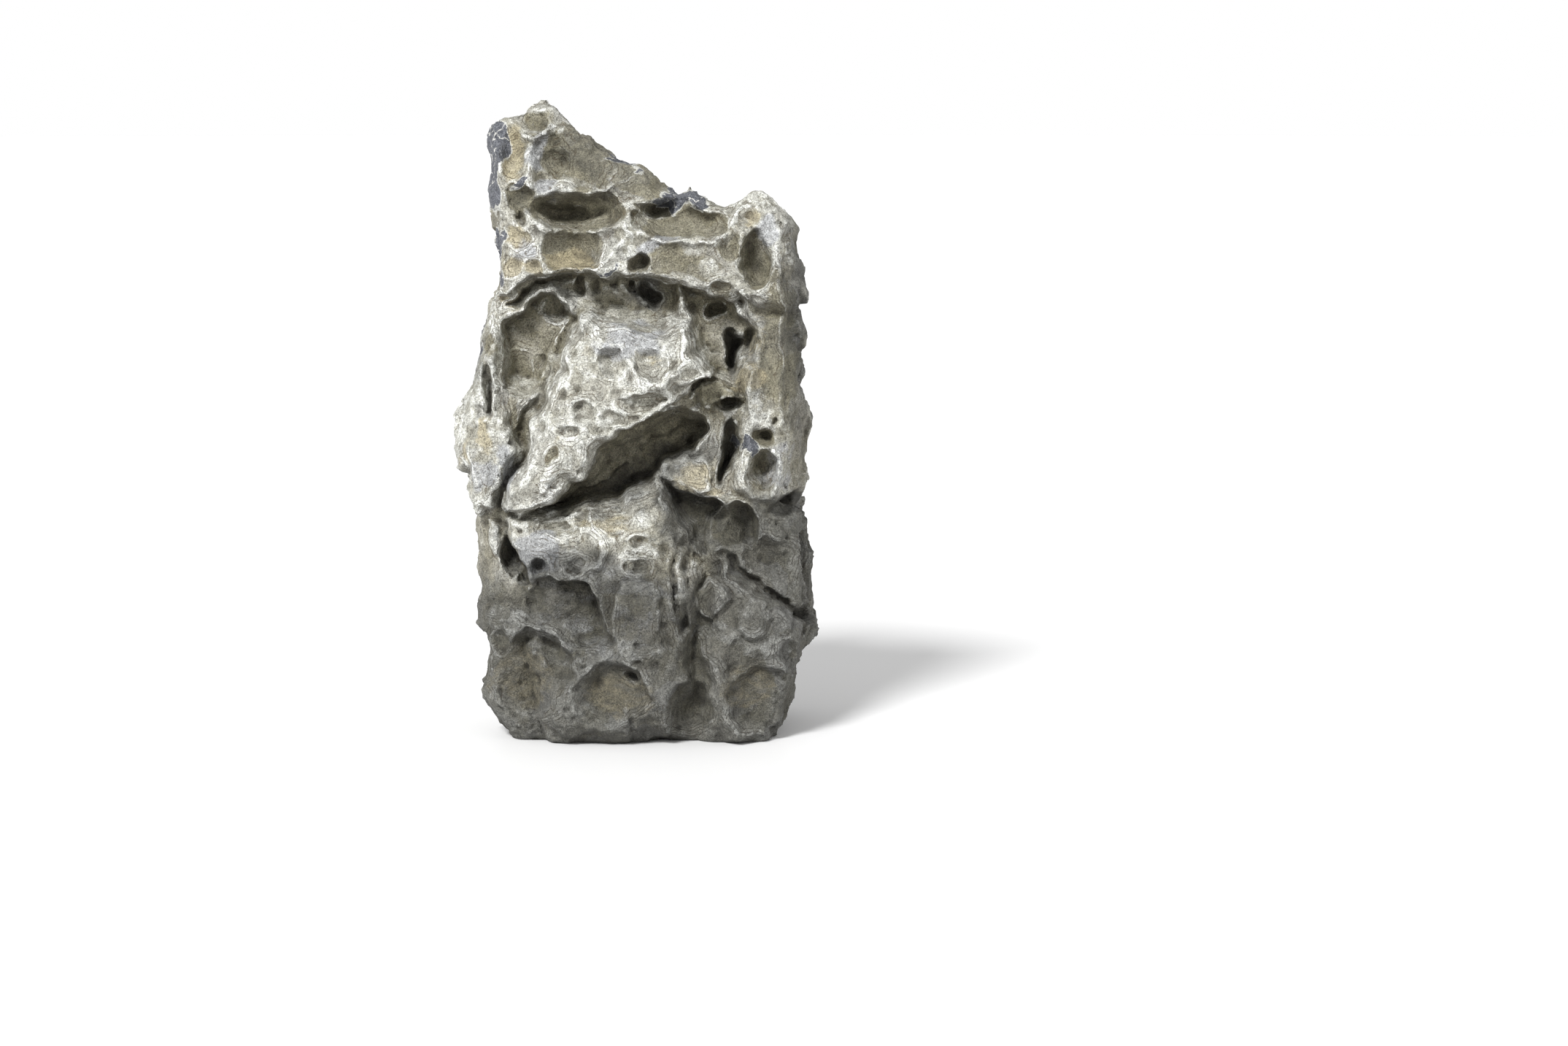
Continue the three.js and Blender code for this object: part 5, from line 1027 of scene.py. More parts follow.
# Where the stone shows each tone
PATCHES: dict[Tone, tuple[Patch, ...]] = {
    Tone.PALE: (
        Patch("strip beside the boss", (-40, 168), (5, 12), 0.8, turn=-28),
        Patch("flank head", (-66, 204), (8, 8)),
        Patch("summit rim", (-35, 289), (3.5, 7), turn=-20),
        Patch("summit", (-41, 299), (6, 2), 0.8),
        Patch("channel rim", (-46, 276), (3.5, 9)),
        Patch("slot brow", (-28, 261), (16, 2.5), 0.9),
        Patch("cup rims", (-50, 232), (10, 4), 0.85),
        Patch("cup wall", (-43, 237), (4, 7)),
        Patch("centre ridge", (-7, 230), (12, 9), 0.8, turn=50),
        Patch("centre ridge head", (2, 242), (8, 6)),
        Patch("saddle lip", (24, 235), (24, 3.4), 0.75),
        Patch("saddle rise", (46, 241), (8, 3.5), turn=45),
        Patch("right knob", (62, 252), (13, 9)),
        Patch("right knob side", (70, 236), (6, 14), 0.9),
        Patch("ledge lip", (14, 218), (18, 2.6), 0.9),
        Patch("ledge nose", (37, 226), (5, 5)),
        Patch("column head", (55, 207), (4, 9), 0.7, turn=18),
        Patch("column edge", (59, 178), (2.5, 12), 0.7),
        Patch("column foot", (62, 156), (8, 8), 0.6),
        Patch("lower boss brow", (-28, 103), (34, 7)),
        Patch("lower boss head", (4, 113), (17, 8), turn=22),
        Patch("lower boss face", (-14, 90), (34, 12), 0.7),
        Patch("boss shelf top", (6, 160), (18, 5)),
        Patch("foot left brow", (-46, 56), (24, 6), turn=-8),
        Patch("foot scoop brow", (-6, 44), (24, 5), turn=10),
        Patch("foot right brow", (56, 50), (24, 6), turn=-14),
    ),
    Tone.OLIVE: (
        Patch("column side", (65, 178), (5, 22), 0.8),
        Patch("panel floor", (-48, 186), (9, 18), 0.5, turn=-12),
        Patch("mouth floor", (-6, 208), (24, 5), 0.5),
        Patch("recess floor", (40, 192), (12, 14), 0.45),
        Patch("upper slope", (4, 266), (16, 8), turn=-32),
        Patch("lip under the slot", (-26, 242), (15, 3), 0.9),
        Patch("under the saddle", (26, 226), (20, 8), 0.8),
        Patch("right flank", (72, 190), (9, 36), 0.8),
    ),
    Tone.OCHRE: (
        Patch("bowl floor", (-28, 226), (13, 6)),
        Patch("lip under the cups", (-58, 207), (7, 2.5)),
        Patch("bulge", (-77, 136), (4, 8), 0.7),
        Patch("bulge side", (-68, 147), (4, 9)),
        Patch("boss side shelf", (-31, 145), (7, 2.4), 0.6),
        Patch("boss shelf", (5, 159), (17, 4.5), 0.5),
        Patch("foot left", (-52, 30), (16, 18), 0.6),
        Patch("foot scoop", (-4, 24), (22, 12), 0.62),
        Patch("foot right", (56, 28), (18, 12), 0.6),
        Patch("boss right dish", (12, 180), (7, 8), 0.55),
        Patch("boss left dish", (-22, 186), (5, 8), 0.5),
        Patch("column", (60, 171), (8, 7)),
        Patch("column side", (60, 190), (6, 14), 0.55),
        Patch("facet", (31, 126), (11, 7), 0.75),
        Patch("channel", (-55, 276), (5, 11)),
        Patch("knob", (57, 247), (4.5, 6), 0.8),
        Patch("lower boss", (-14, 105), (20, 5), 0.68),
        Patch("facet foot", (40, 118), (8, 3)),
    ),
    Tone.SLATE: (
        Patch("left summit", (-64, 283), (5.5, 10), turn=-4),
        Patch("left edge", (-66, 266), (4.4, 14)),
        Patch("left neck", (-63, 230), (2.2, 11), turn=-6),
        Patch("left neck foot", (-64, 219), (1.6, 6), turn=-20),
        Patch("saddle", (24, 255), (12, 4.6)),
        Patch("slope", (-2, 273), (9, 2)),
        Patch("dish rim", (-53, 263.5), (3.5, 2), turn=20),
        Patch("ridge", (-9, 224), (5, 2.2), 0.85, turn=20),
        Patch("knob", (72.5, 243), (2.6, 2.4), 0.62),
        Patch("pit rim", (55, 141), (4, 3.4)),
        Patch("left rim", (-74, 190), (1.6, 9)),
    ),
    Tone.BLUE: (
        Patch("channel side", (-44, 279), (5, 9)),
        Patch("dish side", (-40, 260), (7, 4)),
        Patch("cup wall", (-47, 231), (5, 5)),
        Patch("ridge head", (12, 234), (12, 4)),
        Patch("knob side", (66, 241), (6, 7)),
        Patch("boss brow", (0, 190), (20, 8), 0.8),
        Patch("boss toe", (-36, 119), (14, 6), 0.5, turn=20),
        Patch("valley", (-58, 132), (7, 12), 0.8),
        Patch("lower left face", (-42, 92), (14, 12), 0.8),
        Patch("left bulge", (-70, 128), (8, 8), 0.7),
        Patch("foot facets", (-6, 62), (46, 24), 0.46),
        Patch("right bowl wall", (70, 130), (8, 16), 0.62),
    ),
    # Painted shade: the lower part all round, hollows, undersides and sides turned from the light,
    # darkened in the colour
    Tone.SHADE: (
        Patch("right edge", (80, 202), (9, 46), 0.75, soft=5),
        Patch("neck", (10, 211), (8, 9), 0.8),
        Patch("under the boss", (12, 127), (34, 8), 0.8, turn=28, soft=6),
        Patch("valley", (-60, 112), (7, 28), 0.5, soft=6),
        Patch("great face", (-20, 274), (24, 10), 0.6, turn=-30, soft=7),
        Patch("column", (60, 180), (9, 28), 0.5, soft=5),
        Patch("left edge", (-72, 182), (7, 18), 0.5, soft=4),
        # The lower part all round, darkened with painted shade
        Patch("painted foot shade", (0, 24), (150, 60), 0.95, soft=20, all_round=True),
        Patch("lower boss", (-24, 78), (26, 17), soft=5),
        Patch("arch corner", (-34, 84), (15, 9), soft=4),
        Patch("panel", (4, 72), (12, 18), soft=6),
        Patch("diagonal", (28, 106), (11, 20), 1.3, turn=28),
        Patch("round dish", (-51, 255), (6, 5), 0.5),
        Patch("great pit", (60, 227), (6, 9), 0.45),
        Patch("right bowl", (36, 100), (24, 14), 0.8, soft=7),
        Patch("right low", (68, 84), (30, 30), 1.2, soft=9),
        Patch("right flank", (81, 150), (6, 30), 0.5),
    ),
}

# How common each tone is on the back, where none is placed
BACK_SPREAD: dict[Tone, float] = {
    Tone.PALE: 0.46,
    Tone.OLIVE: 0.30,
    Tone.OCHRE: 0.16,
    Tone.SLATE: 0.02,
    Tone.BLUE: 0.20,
    Tone.SHADE: 0.24,
}


@dataclass(frozen=True)
class Wander:
    """Smooth random numbers between about -1 and 1: six waves in skew directions."""

    waves: tuple[tuple[Triple, float], ...] = (
        ((0.31, 0.13, 0.17), 1.3),
        ((-0.11, 0.21, 0.43), 0.4),
        ((0.71, -0.32, 0.53), 4.1),
        ((-0.61, 0.47, 0.83), 2.0),
        ((0.19, 0.57, -0.23), 3.3),
        ((0.43, -0.61, 0.09), 5.9),
    )
    pace: float = 2.2
    least_pace: float = 0.7
    pace_spread: float = 0.5
    span: float = 3.2

    def at(self, x: Array, y: Array, z: Array, size: float, shift: float = 0.0) -> Array:
        """The number at each place.

        Args:
            x: First coordinates.
            y: Second coordinates.
            z: Third coordinates.
            size: How far it is until the number changes.
            shift: Picks another set of numbers.

        Returns:
            The numbers.
        """
        rate = self.pace * math.pi / size
        total = 0.0
        for (a, b, c), phase in self.waves:
            length = math.hypot(a, b, c)
            turn = rate * (self.least_pace + self.pace_spread * length) / length
            total = total + np.sin(turn * (a * x + b * y + c * z) + phase * (1.0 + shift))
        return total / self.span


WANDER = Wander()


@dataclass(frozen=True)
class Stray:
    """How far drawn forms stray from their places. The drawing lies at one depth."""

    depth: float
    coarse: float
    coarse_size: float
    fine: float
    fine_size: float = 10.0

    def at(self, x: Array, z: Array) -> tuple[Array, Array]:
        """Moves places to where the drawing is read.

        Args:
            x: First coordinates.
            z: Second coordinates.

        Returns:
            The moved coordinates.
        """
        coarse = [WANDER.at(x, self.depth, z, self.coarse_size, shift) for shift in (0.0, 0.7)]
        fine = [WANDER.at(x, self.depth, z, self.fine_size, shift) for shift in (0.3, 1.1)]
        moved_x = x + self.coarse * coarse[0] + self.fine * fine[0]
        return moved_x, z + self.coarse * coarse[1] + self.fine * fine[1]


@dataclass(frozen=True)
class Bowls:
    """One layer of thumbprints: bowls about scattered points, of varying depth, that meet in crests.

    Across and up say how much of x and of z the layer takes as its first and its third coordinate, so
    that its bowls are drawn out or slanted.
    """

    size: float
    seed: int
    shallow: float
    spread: float
    floor: float
    across: Pair = (1.0, 0.0)
    up: Pair = (0.0, 1.0)
    narrowing: float = 1.55

    # What stirs a cell's place into 32 random bits
    cell_primes: ClassVar[tuple[int, ...]] = (73856093, 19349663, 83492791)
    seed_prime: ClassVar[int] = 2654435
    stirs: ClassVar[tuple[tuple[int, int], ...]] = ((15, 2246822519), (13, 3266489917), (16, 1))
    all_bits: ClassVar[int] = 0xFFFFFFFF

    def number(self, cell: list[Array]) -> Array:
        """A repeatable whole number for each cell of space.

        Args:
            cell: The cells' places along the three axes.

        Returns:
            The numbers.
        """
        i, j, k = (part * prime for part, prime in zip(cell, self.cell_primes))
        bits = (i ^ j ^ k ^ (self.seed * self.seed_prime)) & self.all_bits
        for shift, factor in self.stirs:
            bits = ((bits ^ (bits >> shift)) * factor) & self.all_bits
        return bits

    @staticmethod
    def bit_share(numbers: Array, first: int, count: int = 10) -> Array:
        """Some of the bits of whole numbers as a share from 0 to 1."""
        most = (1 << count) - 1
        return ((numbers >> first) & most) / most

    def depth(self, x: Array, y: Array, z: Array) -> Array:
        """How deep the bowls are.

        Args:
            x: First coordinates.
            y: Second coordinates.
            z: Third coordinates.

        Returns:
            The depths, below 0 on the crests.
        """
        across = self.across[0] * x + self.across[1] * z
        up = self.up[0] * x + self.up[1] * z
        place = [part / self.size for part in (across, y, up)]
        own = [np.floor(part).astype(np.int64) for part in place]
        nearest = np.full(place[0].shape, np.inf)
        share = np.zeros(place[0].shape)
        for step in NEIGHBOURS:
            cell = [part + along for part, along in zip(own, step)]
            bits = self.number(cell)
            off = [cell[axis] + self.bit_share(bits, 10 * axis) - place[axis] for axis in range(3)]
            square = off[0] * off[0] + off[1] * off[1] + off[2] * off[2]
            closer = square < nearest
            nearest = np.where(closer, square, nearest)
            share = np.where(closer, self.bit_share(bits, 5, 8), share)
        bowl = np.maximum(1.0 - self.narrowing * nearest, -self.floor)
        return (self.shallow + self.spread * share) * bowl


# The bowls that only the sides and the back have, and those that all of the stone has
BROAD_BOWLS = Bowls(46.0, 4, 0.0, 8.0, 0.5, up=(0.0, 0.7))
WORN_BOWLS = (
    Bowls(21.0, 1, 0.3, 4.0, 0.7, up=(0.0, 0.8)),
    Bowls(10.5, 2, 0.2, 2.0, 0.6, across=(1.1, 0.3)),
    Bowls(5.2, 3, 0.0, 0.9, 0.6, across=(1.1, 0.0), up=(-0.2, 1.0)),
)


@dataclass(frozen=True)
class Side:
    """The plain shape of the face or the back: how far it reaches out from the stone's middle."""

    top: float
    fall: float
    bulge: float
    edge_drop: float
    edge_power: int
    foot_drop: float


@dataclass(frozen=True)
class Sway:
    """How the widest line of a flank swings to and fro along its height."""

    reach: float
    size: float
    start: float

    def at(self, z: Array, share: Array) -> Array:
        """The swing at each height, by the share of the flank in each column."""
        return share * self.reach * np.sin(z / self.size + self.start)


@dataclass
class StoneField:
    """The solid stone as samples of a field that is negative inside it.

    The sizes are those of the solid that the frame holds.
    """

    step: float
    x_range: Pair = (-94.0, 96.0)
    y_range: Pair = (-92.0, 86.0)
    top: float = 306.0
    steps_below: float = 4.0
    face: Side = Side(15.0, 38.0, 0.62, 8.0, 4, 10.0)
    back: Side = Side(11.0, 34.0, 0.7, 9.0, 2, 8.0)
    back_swell: float = 6.0
    back_swell_size: float = 110.0
    half_width: float = 85.0
    foot_height: float = 26.0
    edge_rounding: float = 10.0
    flank_blend: float = 12.0
    left_sway: Sway = Sway(10.0, 47.0, 0.6)
    right_sway: Sway = Sway(9.0, 41.0, 2.4)
    widest_line: float = 6.0
    flank_swell: float = 0.0038
    swell_sway: float = 0.55
    swell_size: float = 33.0
    swell_shift: float = 4.0
    flank_cut: float = 1.5
    flank_start: Pair = (20.0, 40.0)
    uncut_edge: float = 14.0
    notch_slant: float = 0.3
    left_slant: float = -0.7
    notch_waver: float = 0.1
    waver_rates: Pair = (0.04, 0.03)
    notch_straight: float = 20.0
    notch_fade: Pair = (10.0, 34.0)
    crown_fade: Pair = (235.0, 255.0)
    foot_fade: float = 30.0
    rim_blur: tuple[float, ...] = (-20.0, -10.0, 0.0, 10.0, 20.0)
    wear_band: float = 9.0
    wear_swell: float = 1.2
    wear_swell_size: float = 40.0
    wear_stray: float = 3.2
    wear_stray_size: float = 30.0
    broad_rise: float = 1.0
    behind_face: Pair = (-24.0, 6.0)
    face_calm: float = 0.4
    foot_wear: float = 0.7
    foot_wear_fade: Pair = (80.0, 40.0)
    face_stray: Stray = Stray(0.0, 1.5, 24.0, 0.7)
    back_stray: Stray = Stray(9.0, 1.6, 26.0, 0.6)
    flank_stray: float = 1.5
    flank_stray_size: float = 24.0
    crispness: float = 0.6
    crisp_radius: float = 2.2
    closed_value: float = -0.1
    xs: Array = field(init=False)
    ys: Array = field(init=False)
    zs: Array = field(init=False)
    values: Array = field(init=False)

    def __post_init__(self) -> None:
        """Lays out the grid and fills it."""
        self.xs = np.arange(*self.x_range, self.step)
        self.ys = np.arange(*self.y_range, self.step)
        self.zs = np.arange(-self.steps_below * self.step, self.top, self.step)
        self.fill()
        self.weather()
        self.sharpen()
        self.close_diagonals()

    def carved(self, forms: tuple[Form, ...], x: Array, z: Array, plain: Array) -> Array:
        """Adds every form to a plain surface.

        Args:
            forms: The forms.
            x: First coordinates on the drawing.
            z: Second coordinates.
            plain: The plain surface's heights there.

        Returns:
            The heights with the forms.
        """
        height = plain.copy()
        for form in forms:
            log.debug("carving %s", form.name)
            form.carve(x, z, height)
        return height

    def plain_reach(self, side: Side, x: Array, z: Array) -> Array:
        """How far the stone reaches to one side before its forms are cut.

        Args:
            side: The face or the back.
            x: First coordinates.
            z: Heights.

        Returns:
            The distances from the stone's middle.
        """
        rise = np.maximum(1.0 - z / self.top, 0.0) ** side.bulge
        edge = np.abs(x / self.half_width) ** side.edge_power
        tuck = np.clip(1.0 - z / self.foot_height, 0.0, 1.0) ** 2
        return side.top + side.fall * rise - side.edge_drop * edge - side.foot_drop * tuck

    def face_reach(self, x: Array, z: Array) -> Array:
        """How far the stone reaches towards the viewer."""
        return self.carved(FACE, *self.face_stray.at(x, z), self.plain_reach(self.face, x, z))

    def back_reach(self, x: Array, z: Array) -> Array:
        """How far the stone reaches away from the viewer."""
        swell = self.back_swell * WANDER.at(x, 3.0, z, self.back_swell_size, 0.2)
        return self.carved(BACK, *self.back_stray.at(x, z), self.plain_reach(self.back, x, z) + swell)

    def on_flank(self, flank: float, y: Array, z: Array) -> tuple[Array, Array]:
        """Moves places to where the drawing of a flank, LEFT or RIGHT, is read."""
        away, up = (WANDER.at(at, y, z, self.flank_stray_size) for at in (flank, flank + 5.0))
        return y + self.flank_stray * away, z + self.flank_stray * up

    def flank_depth(self, forms: tuple[Form, ...], flank: float, y: Array, z: Array) -> Array:
        """How deep the forms of a flank are cut."""
        return -self.carved(forms, *self.on_flank(flank, y, z), np.zeros_like(y))

    def rim_at(self, rim: Array, heights: Array) -> Array:
        """Reads the silhouette's distance in each column at other heights.

        Args:
            rim: The distance on the grid of x and z.
            heights: The heights to read at, on the same grid.

        Returns:
            The distances between the samples.
        """
        at = np.clip((heights - self.zs[0]) / self.step, 0.0, len(self.zs) - GRID_END)
        low = at.astype(int)
        column = np.arange(len(self.xs))[:, None]
        share = at - low
        return rim[column, low] * (1.0 - share) + rim[column, low + 1] * share

    def side_edge(self, rim: Array, away: Array, x: Array, z: Array) -> Array:
        """The silhouette's distance some way behind or before the widest line.

        Args:
            rim: The distance to the silhouette on the grid of x and z.
            away: How far behind the widest line each place is.
            x: The grid's first coordinates.
            z: The grid's heights.

        Returns:
            The distance, whose notches run on a slant and fade into a plainer edge.
        """
        waver = self.notch_waver * away * np.sin(x * self.waver_rates[0] + z * self.waver_rates[1])
        slant = self.notch_slant * np.where(x > 0.0, 1.0, self.left_slant) * away + waver
        slant = slant * np.clip(np.abs(away) / self.notch_straight, 0.0, 1.0)
        notched = self.rim_at(rim, z + slant)
        plain = sum(self.rim_at(rim, z + slant + rise) for rise in self.rim_blur) / len(self.rim_blur)
        share = fade(np.abs(away), *self.notch_fade)
        faded = notched * (1.0 - share) + plain * share
        still = np.maximum(fade(z, *self.crown_fade), np.clip(1.0 - z / self.foot_fade, 0.0, 1.0))
        return faded * (1.0 - still) + rim * still

    def fill(self) -> None:
        """Works out the field from the forms of the face, the back and the flanks."""
        x, z = np.meshgrid(self.xs, self.zs, indexing="ij")
        flank_y, flank_z = np.meshgrid(self.ys, self.zs, indexing="ij")
        face, back = self.face_reach(x, z), self.back_reach(x, z)
        rim, _ = outline_distance(x, z, OUTLINE)
        left = self.flank_depth(LEFT_FLANK, LEFT, flank_y, flank_z)
        right = self.flank_depth(RIGHT_FLANK, RIGHT, flank_y, flank_z)
        side = 1.0 / (1.0 + np.exp(-x / self.flank_blend))
        widest = self.left_sway.at(z, 1.0 - side) + self.right_sway.at(z, side)
        wave = np.sin(z / self.swell_size + self.swell_shift * side)
        swell = self.flank_swell * (1.0 + self.swell_sway * wave)
        outer = self.flank_cut * fade(np.abs(x), *self.flank_start)
        self.values = np.empty((len(self.xs), len(self.ys), len(self.zs)), np.float32)
        for j, y in enumerate(self.ys):
            away = y + self.widest_line + widest
            cut = left[j][None, :] * (1.0 - side) + right[j][None, :] * side
            edge = self.side_edge(rim, away, x, z) + swell * away * away
            edge = edge + outer * cut * np.clip(np.abs(away) / self.uncut_edge, 0.0, 1.0)
            slab = smooth_max(-y - face, y - back, self.edge_rounding)
            self.values[:, j, :] = smooth_max(slab, edge, self.edge_rounding)

    def wear(self, x: Array, y: Array, z: Array) -> Array:
        """How deep water has eaten the surface, beyond its forms.

        Args:
            x: First coordinates.
            y: Second coordinates.
            z: Heights.

        Returns:
            The depths.
        """
        wx, wy, wz = (
            along + self.wear_stray * WANDER.at(x, y, z, self.wear_stray_size, shift)
            for along, shift in ((x, 0.4), (y, 1.4), (z, 2.4))
        )
        behind_face = fade(y, *self.behind_face)
        wilder = np.maximum(behind_face, self.foot_wear * fade(z, *self.foot_wear_fade))
        share = self.face_calm + (1.0 - self.face_calm) * wilder
        broad = behind_face * (BROAD_BOWLS.depth(wx, wy, wz) - self.broad_rise)
        bowls = sum(layer.depth(wx, wy, wz) for layer in WORN_BOWLS)
        swell = self.wear_swell * WANDER.at(x, y, z, self.wear_swell_size, 0.2)
        return swell - self.wear_swell + broad + bowls * share

    def weather(self) -> None:
        """Wears the surface and what lies close to it."""
        i, j, k = np.nonzero(np.abs(self.values) < self.wear_band)
        self.values[i, j, k] += self.wear(self.xs[i], self.ys[j], self.zs[k])

    def sharpen(self) -> None:
        """Adds what a blur takes away, and cuts the foot flat."""
        soft = self.values
        steps = max(1, round(self.crisp_radius / self.step))
        for axis in (0, 1, 2, 0, 1, 2):
            soft = blurred(soft, axis, steps)
        self.values += self.crispness * (self.values - soft)
        np.maximum(self.values, -self.zs[None, None, :], out=self.values)

    def close_diagonals(self) -> None:
        """Fills samples where the stone would touch itself only across a diagonal."""
        changed = True
        while changed:
            solid = self.values < 0.0
            split = np.zeros_like(solid)
            for u, v in ((0, 1), (1, 2), (2, 0)):
                corners = [self.shifted(solid.shape, {u: a, v: b}) for a, b in product((0, 1), repeat=2)]
                a, b, c, d = (solid[corner] for corner in corners)
                crossed = (a == d) & (b == c) & (a != b)
                for corner in corners:
                    split[corner] |= crossed
            cell = [self.shifted(solid.shape, dict(enumerate(corner))) for corner in CORNERS]
            flags = [solid[corner] for corner in cell]
            count = sum(flag.astype(np.int8) for flag in flags)
            for low, high in zip(flags[:4], flags[:3:-1]):
                crossed = ((count == 2) & low & high) | ((count == 6) & ~low & ~high)
                for corner in cell:
                    split[corner] |= crossed
            changed = bool(np.any(split & ~solid))
            self.values[split & ~solid] = self.closed_value

    @staticmethod
    def shifted(shape: tuple[int, ...], steps: dict[int, int]) -> tuple[slice, ...]:
        """Picks a part of a grid, a step shorter along the axes where steps says how late it starts.

        Args:
            shape: The grid's shape.
            steps: By axis, 0 or 1 for an early or a late start.

        Returns:
            The slices of the part.
        """
        return tuple(
            slice(steps[axis], size - 1 + steps[axis]) if axis in steps else slice(None)
            for axis, size in enumerate(shape)
        )

    def origin(self) -> Array:
        """The place of the first sample."""
        return np.array([self.xs[0], self.ys[0], self.zs[0]])

    def crossings(self, cells: Array) -> Array:
        """The middle of the places where the surface crosses the edges of each cell.

        Args:
            cells: The cells' first corners, as places in the grid.

        Returns:
            The middles, in steps from those corners.
        """
        total = np.zeros((len(cells), 3))
        count = np.zeros(len(cells))
        for axis, a, b in product(range(3), (0, 1), (0, 1)):
            start = np.zeros(3, int)
            start[(axis + 1) % 3], start[(axis + 2) % 3] = a, b
            end = start.copy()
            end[axis] = 1
            first = self.values[tuple((cells + start).T)]
            last = self.values[tuple((cells + end).T)]
            crossed = (first < 0.0) != (last < 0.0)
            share = np.where(crossed, first / np.where(crossed, first - last, 1.0), 0.0)
            place = np.tile(start.astype(float), (len(cells), 1))
            place[:, axis] += share
            total += place * crossed[:, None]
            count += crossed
        return total / count[:, None]

    def net(self) -> tuple[Array, Array]:
        """Lays the skin: a point in each cell that the surface crosses, joined round each crossed edge.

        Returns:
            The points in millimetres and the four-sided faces, which look outwards.
        """
        solid = self.values < 0.0
        shape = solid.shape
        corners = [self.shifted(shape, dict(enumerate(corner))) for corner in CORNERS]
        count = sum(solid[corner].astype(np.int8) for corner in corners)
        cells = np.argwhere((count > 0) & (count < 8))
        index = np.full(count.shape, -1, np.int64)
        index[tuple(cells.T)] = np.arange(len(cells))
        points = (cells + self.crossings(cells)) * self.step + self.origin()
        faces = []
        for axis in range(3):
            before = solid[self.shifted(shape, {axis: 0})]
            after = solid[self.shifted(shape, {axis: 1})]
            edges = np.argwhere(before != after)
            u, v = (axis + 1) % 3, (axis + 2) % 3
            inner = (edges[:, u] > 0) & (edges[:, v] > 0)
            inner &= (edges[:, u] < shape[u] - 1) & (edges[:, v] < shape[v] - 1)
            edges = edges[inner]
            around = []
            for du, dv in ((-1, -1), (0, -1), (0, 0), (-1, 0)):
                cell = edges.copy()
                cell[:, u] += du
                cell[:, v] += dv
                around.append(index[tuple(cell.T)])
            quads = np.stack(around, axis=1)
            inward = ~before[tuple(edges.T)]
            quads[inward] = quads[inward][:, ::-1]
            faces.append(quads)
        return points, np.concatenate(faces)


@dataclass
class SolidShare:
    """How much of the space about a place is stone: a half on a flat, more in a hollow."""

    stone: StoneField
    radius: float
    rounds: int = 3
    box_share: float = 1.7
    shares: Array = field(init=False)

    def __post_init__(self) -> None:
        """Blurs the solid by three boxes, which comes close to a round blur."""
        self.shares = np.clip(0.5 - self.stone.values / self.stone.step, 0.0, 1.0).astype(np.float32)
        steps = max(1, round(self.radius / (self.box_share * self.stone.step)))
        for _, axis in product(range(self.rounds), range(3)):
            self.shares = blurred(self.shares, axis, steps)

    def at(self, points: Array) -> Array:
        """Reads the share at places between the samples.

        Args:
            points: The places in millimetres.

        Returns:
            The shares.
        """
        top = np.array(self.shares.shape) - GRID_END
        place = np.clip((points - self.stone.origin()) / self.stone.step, 0.0, top)
        low = place.astype(int)
        share = place - low
        total = np.zeros(len(points))
        for corner in CORNERS:
            weight = np.ones(len(points))
            for axis, up in enumerate(corner):
                weight = weight * (share[:, axis] if up else 1.0 - share[:, axis])
            total += weight * self.shares[tuple((low + corner).T)]
        return total


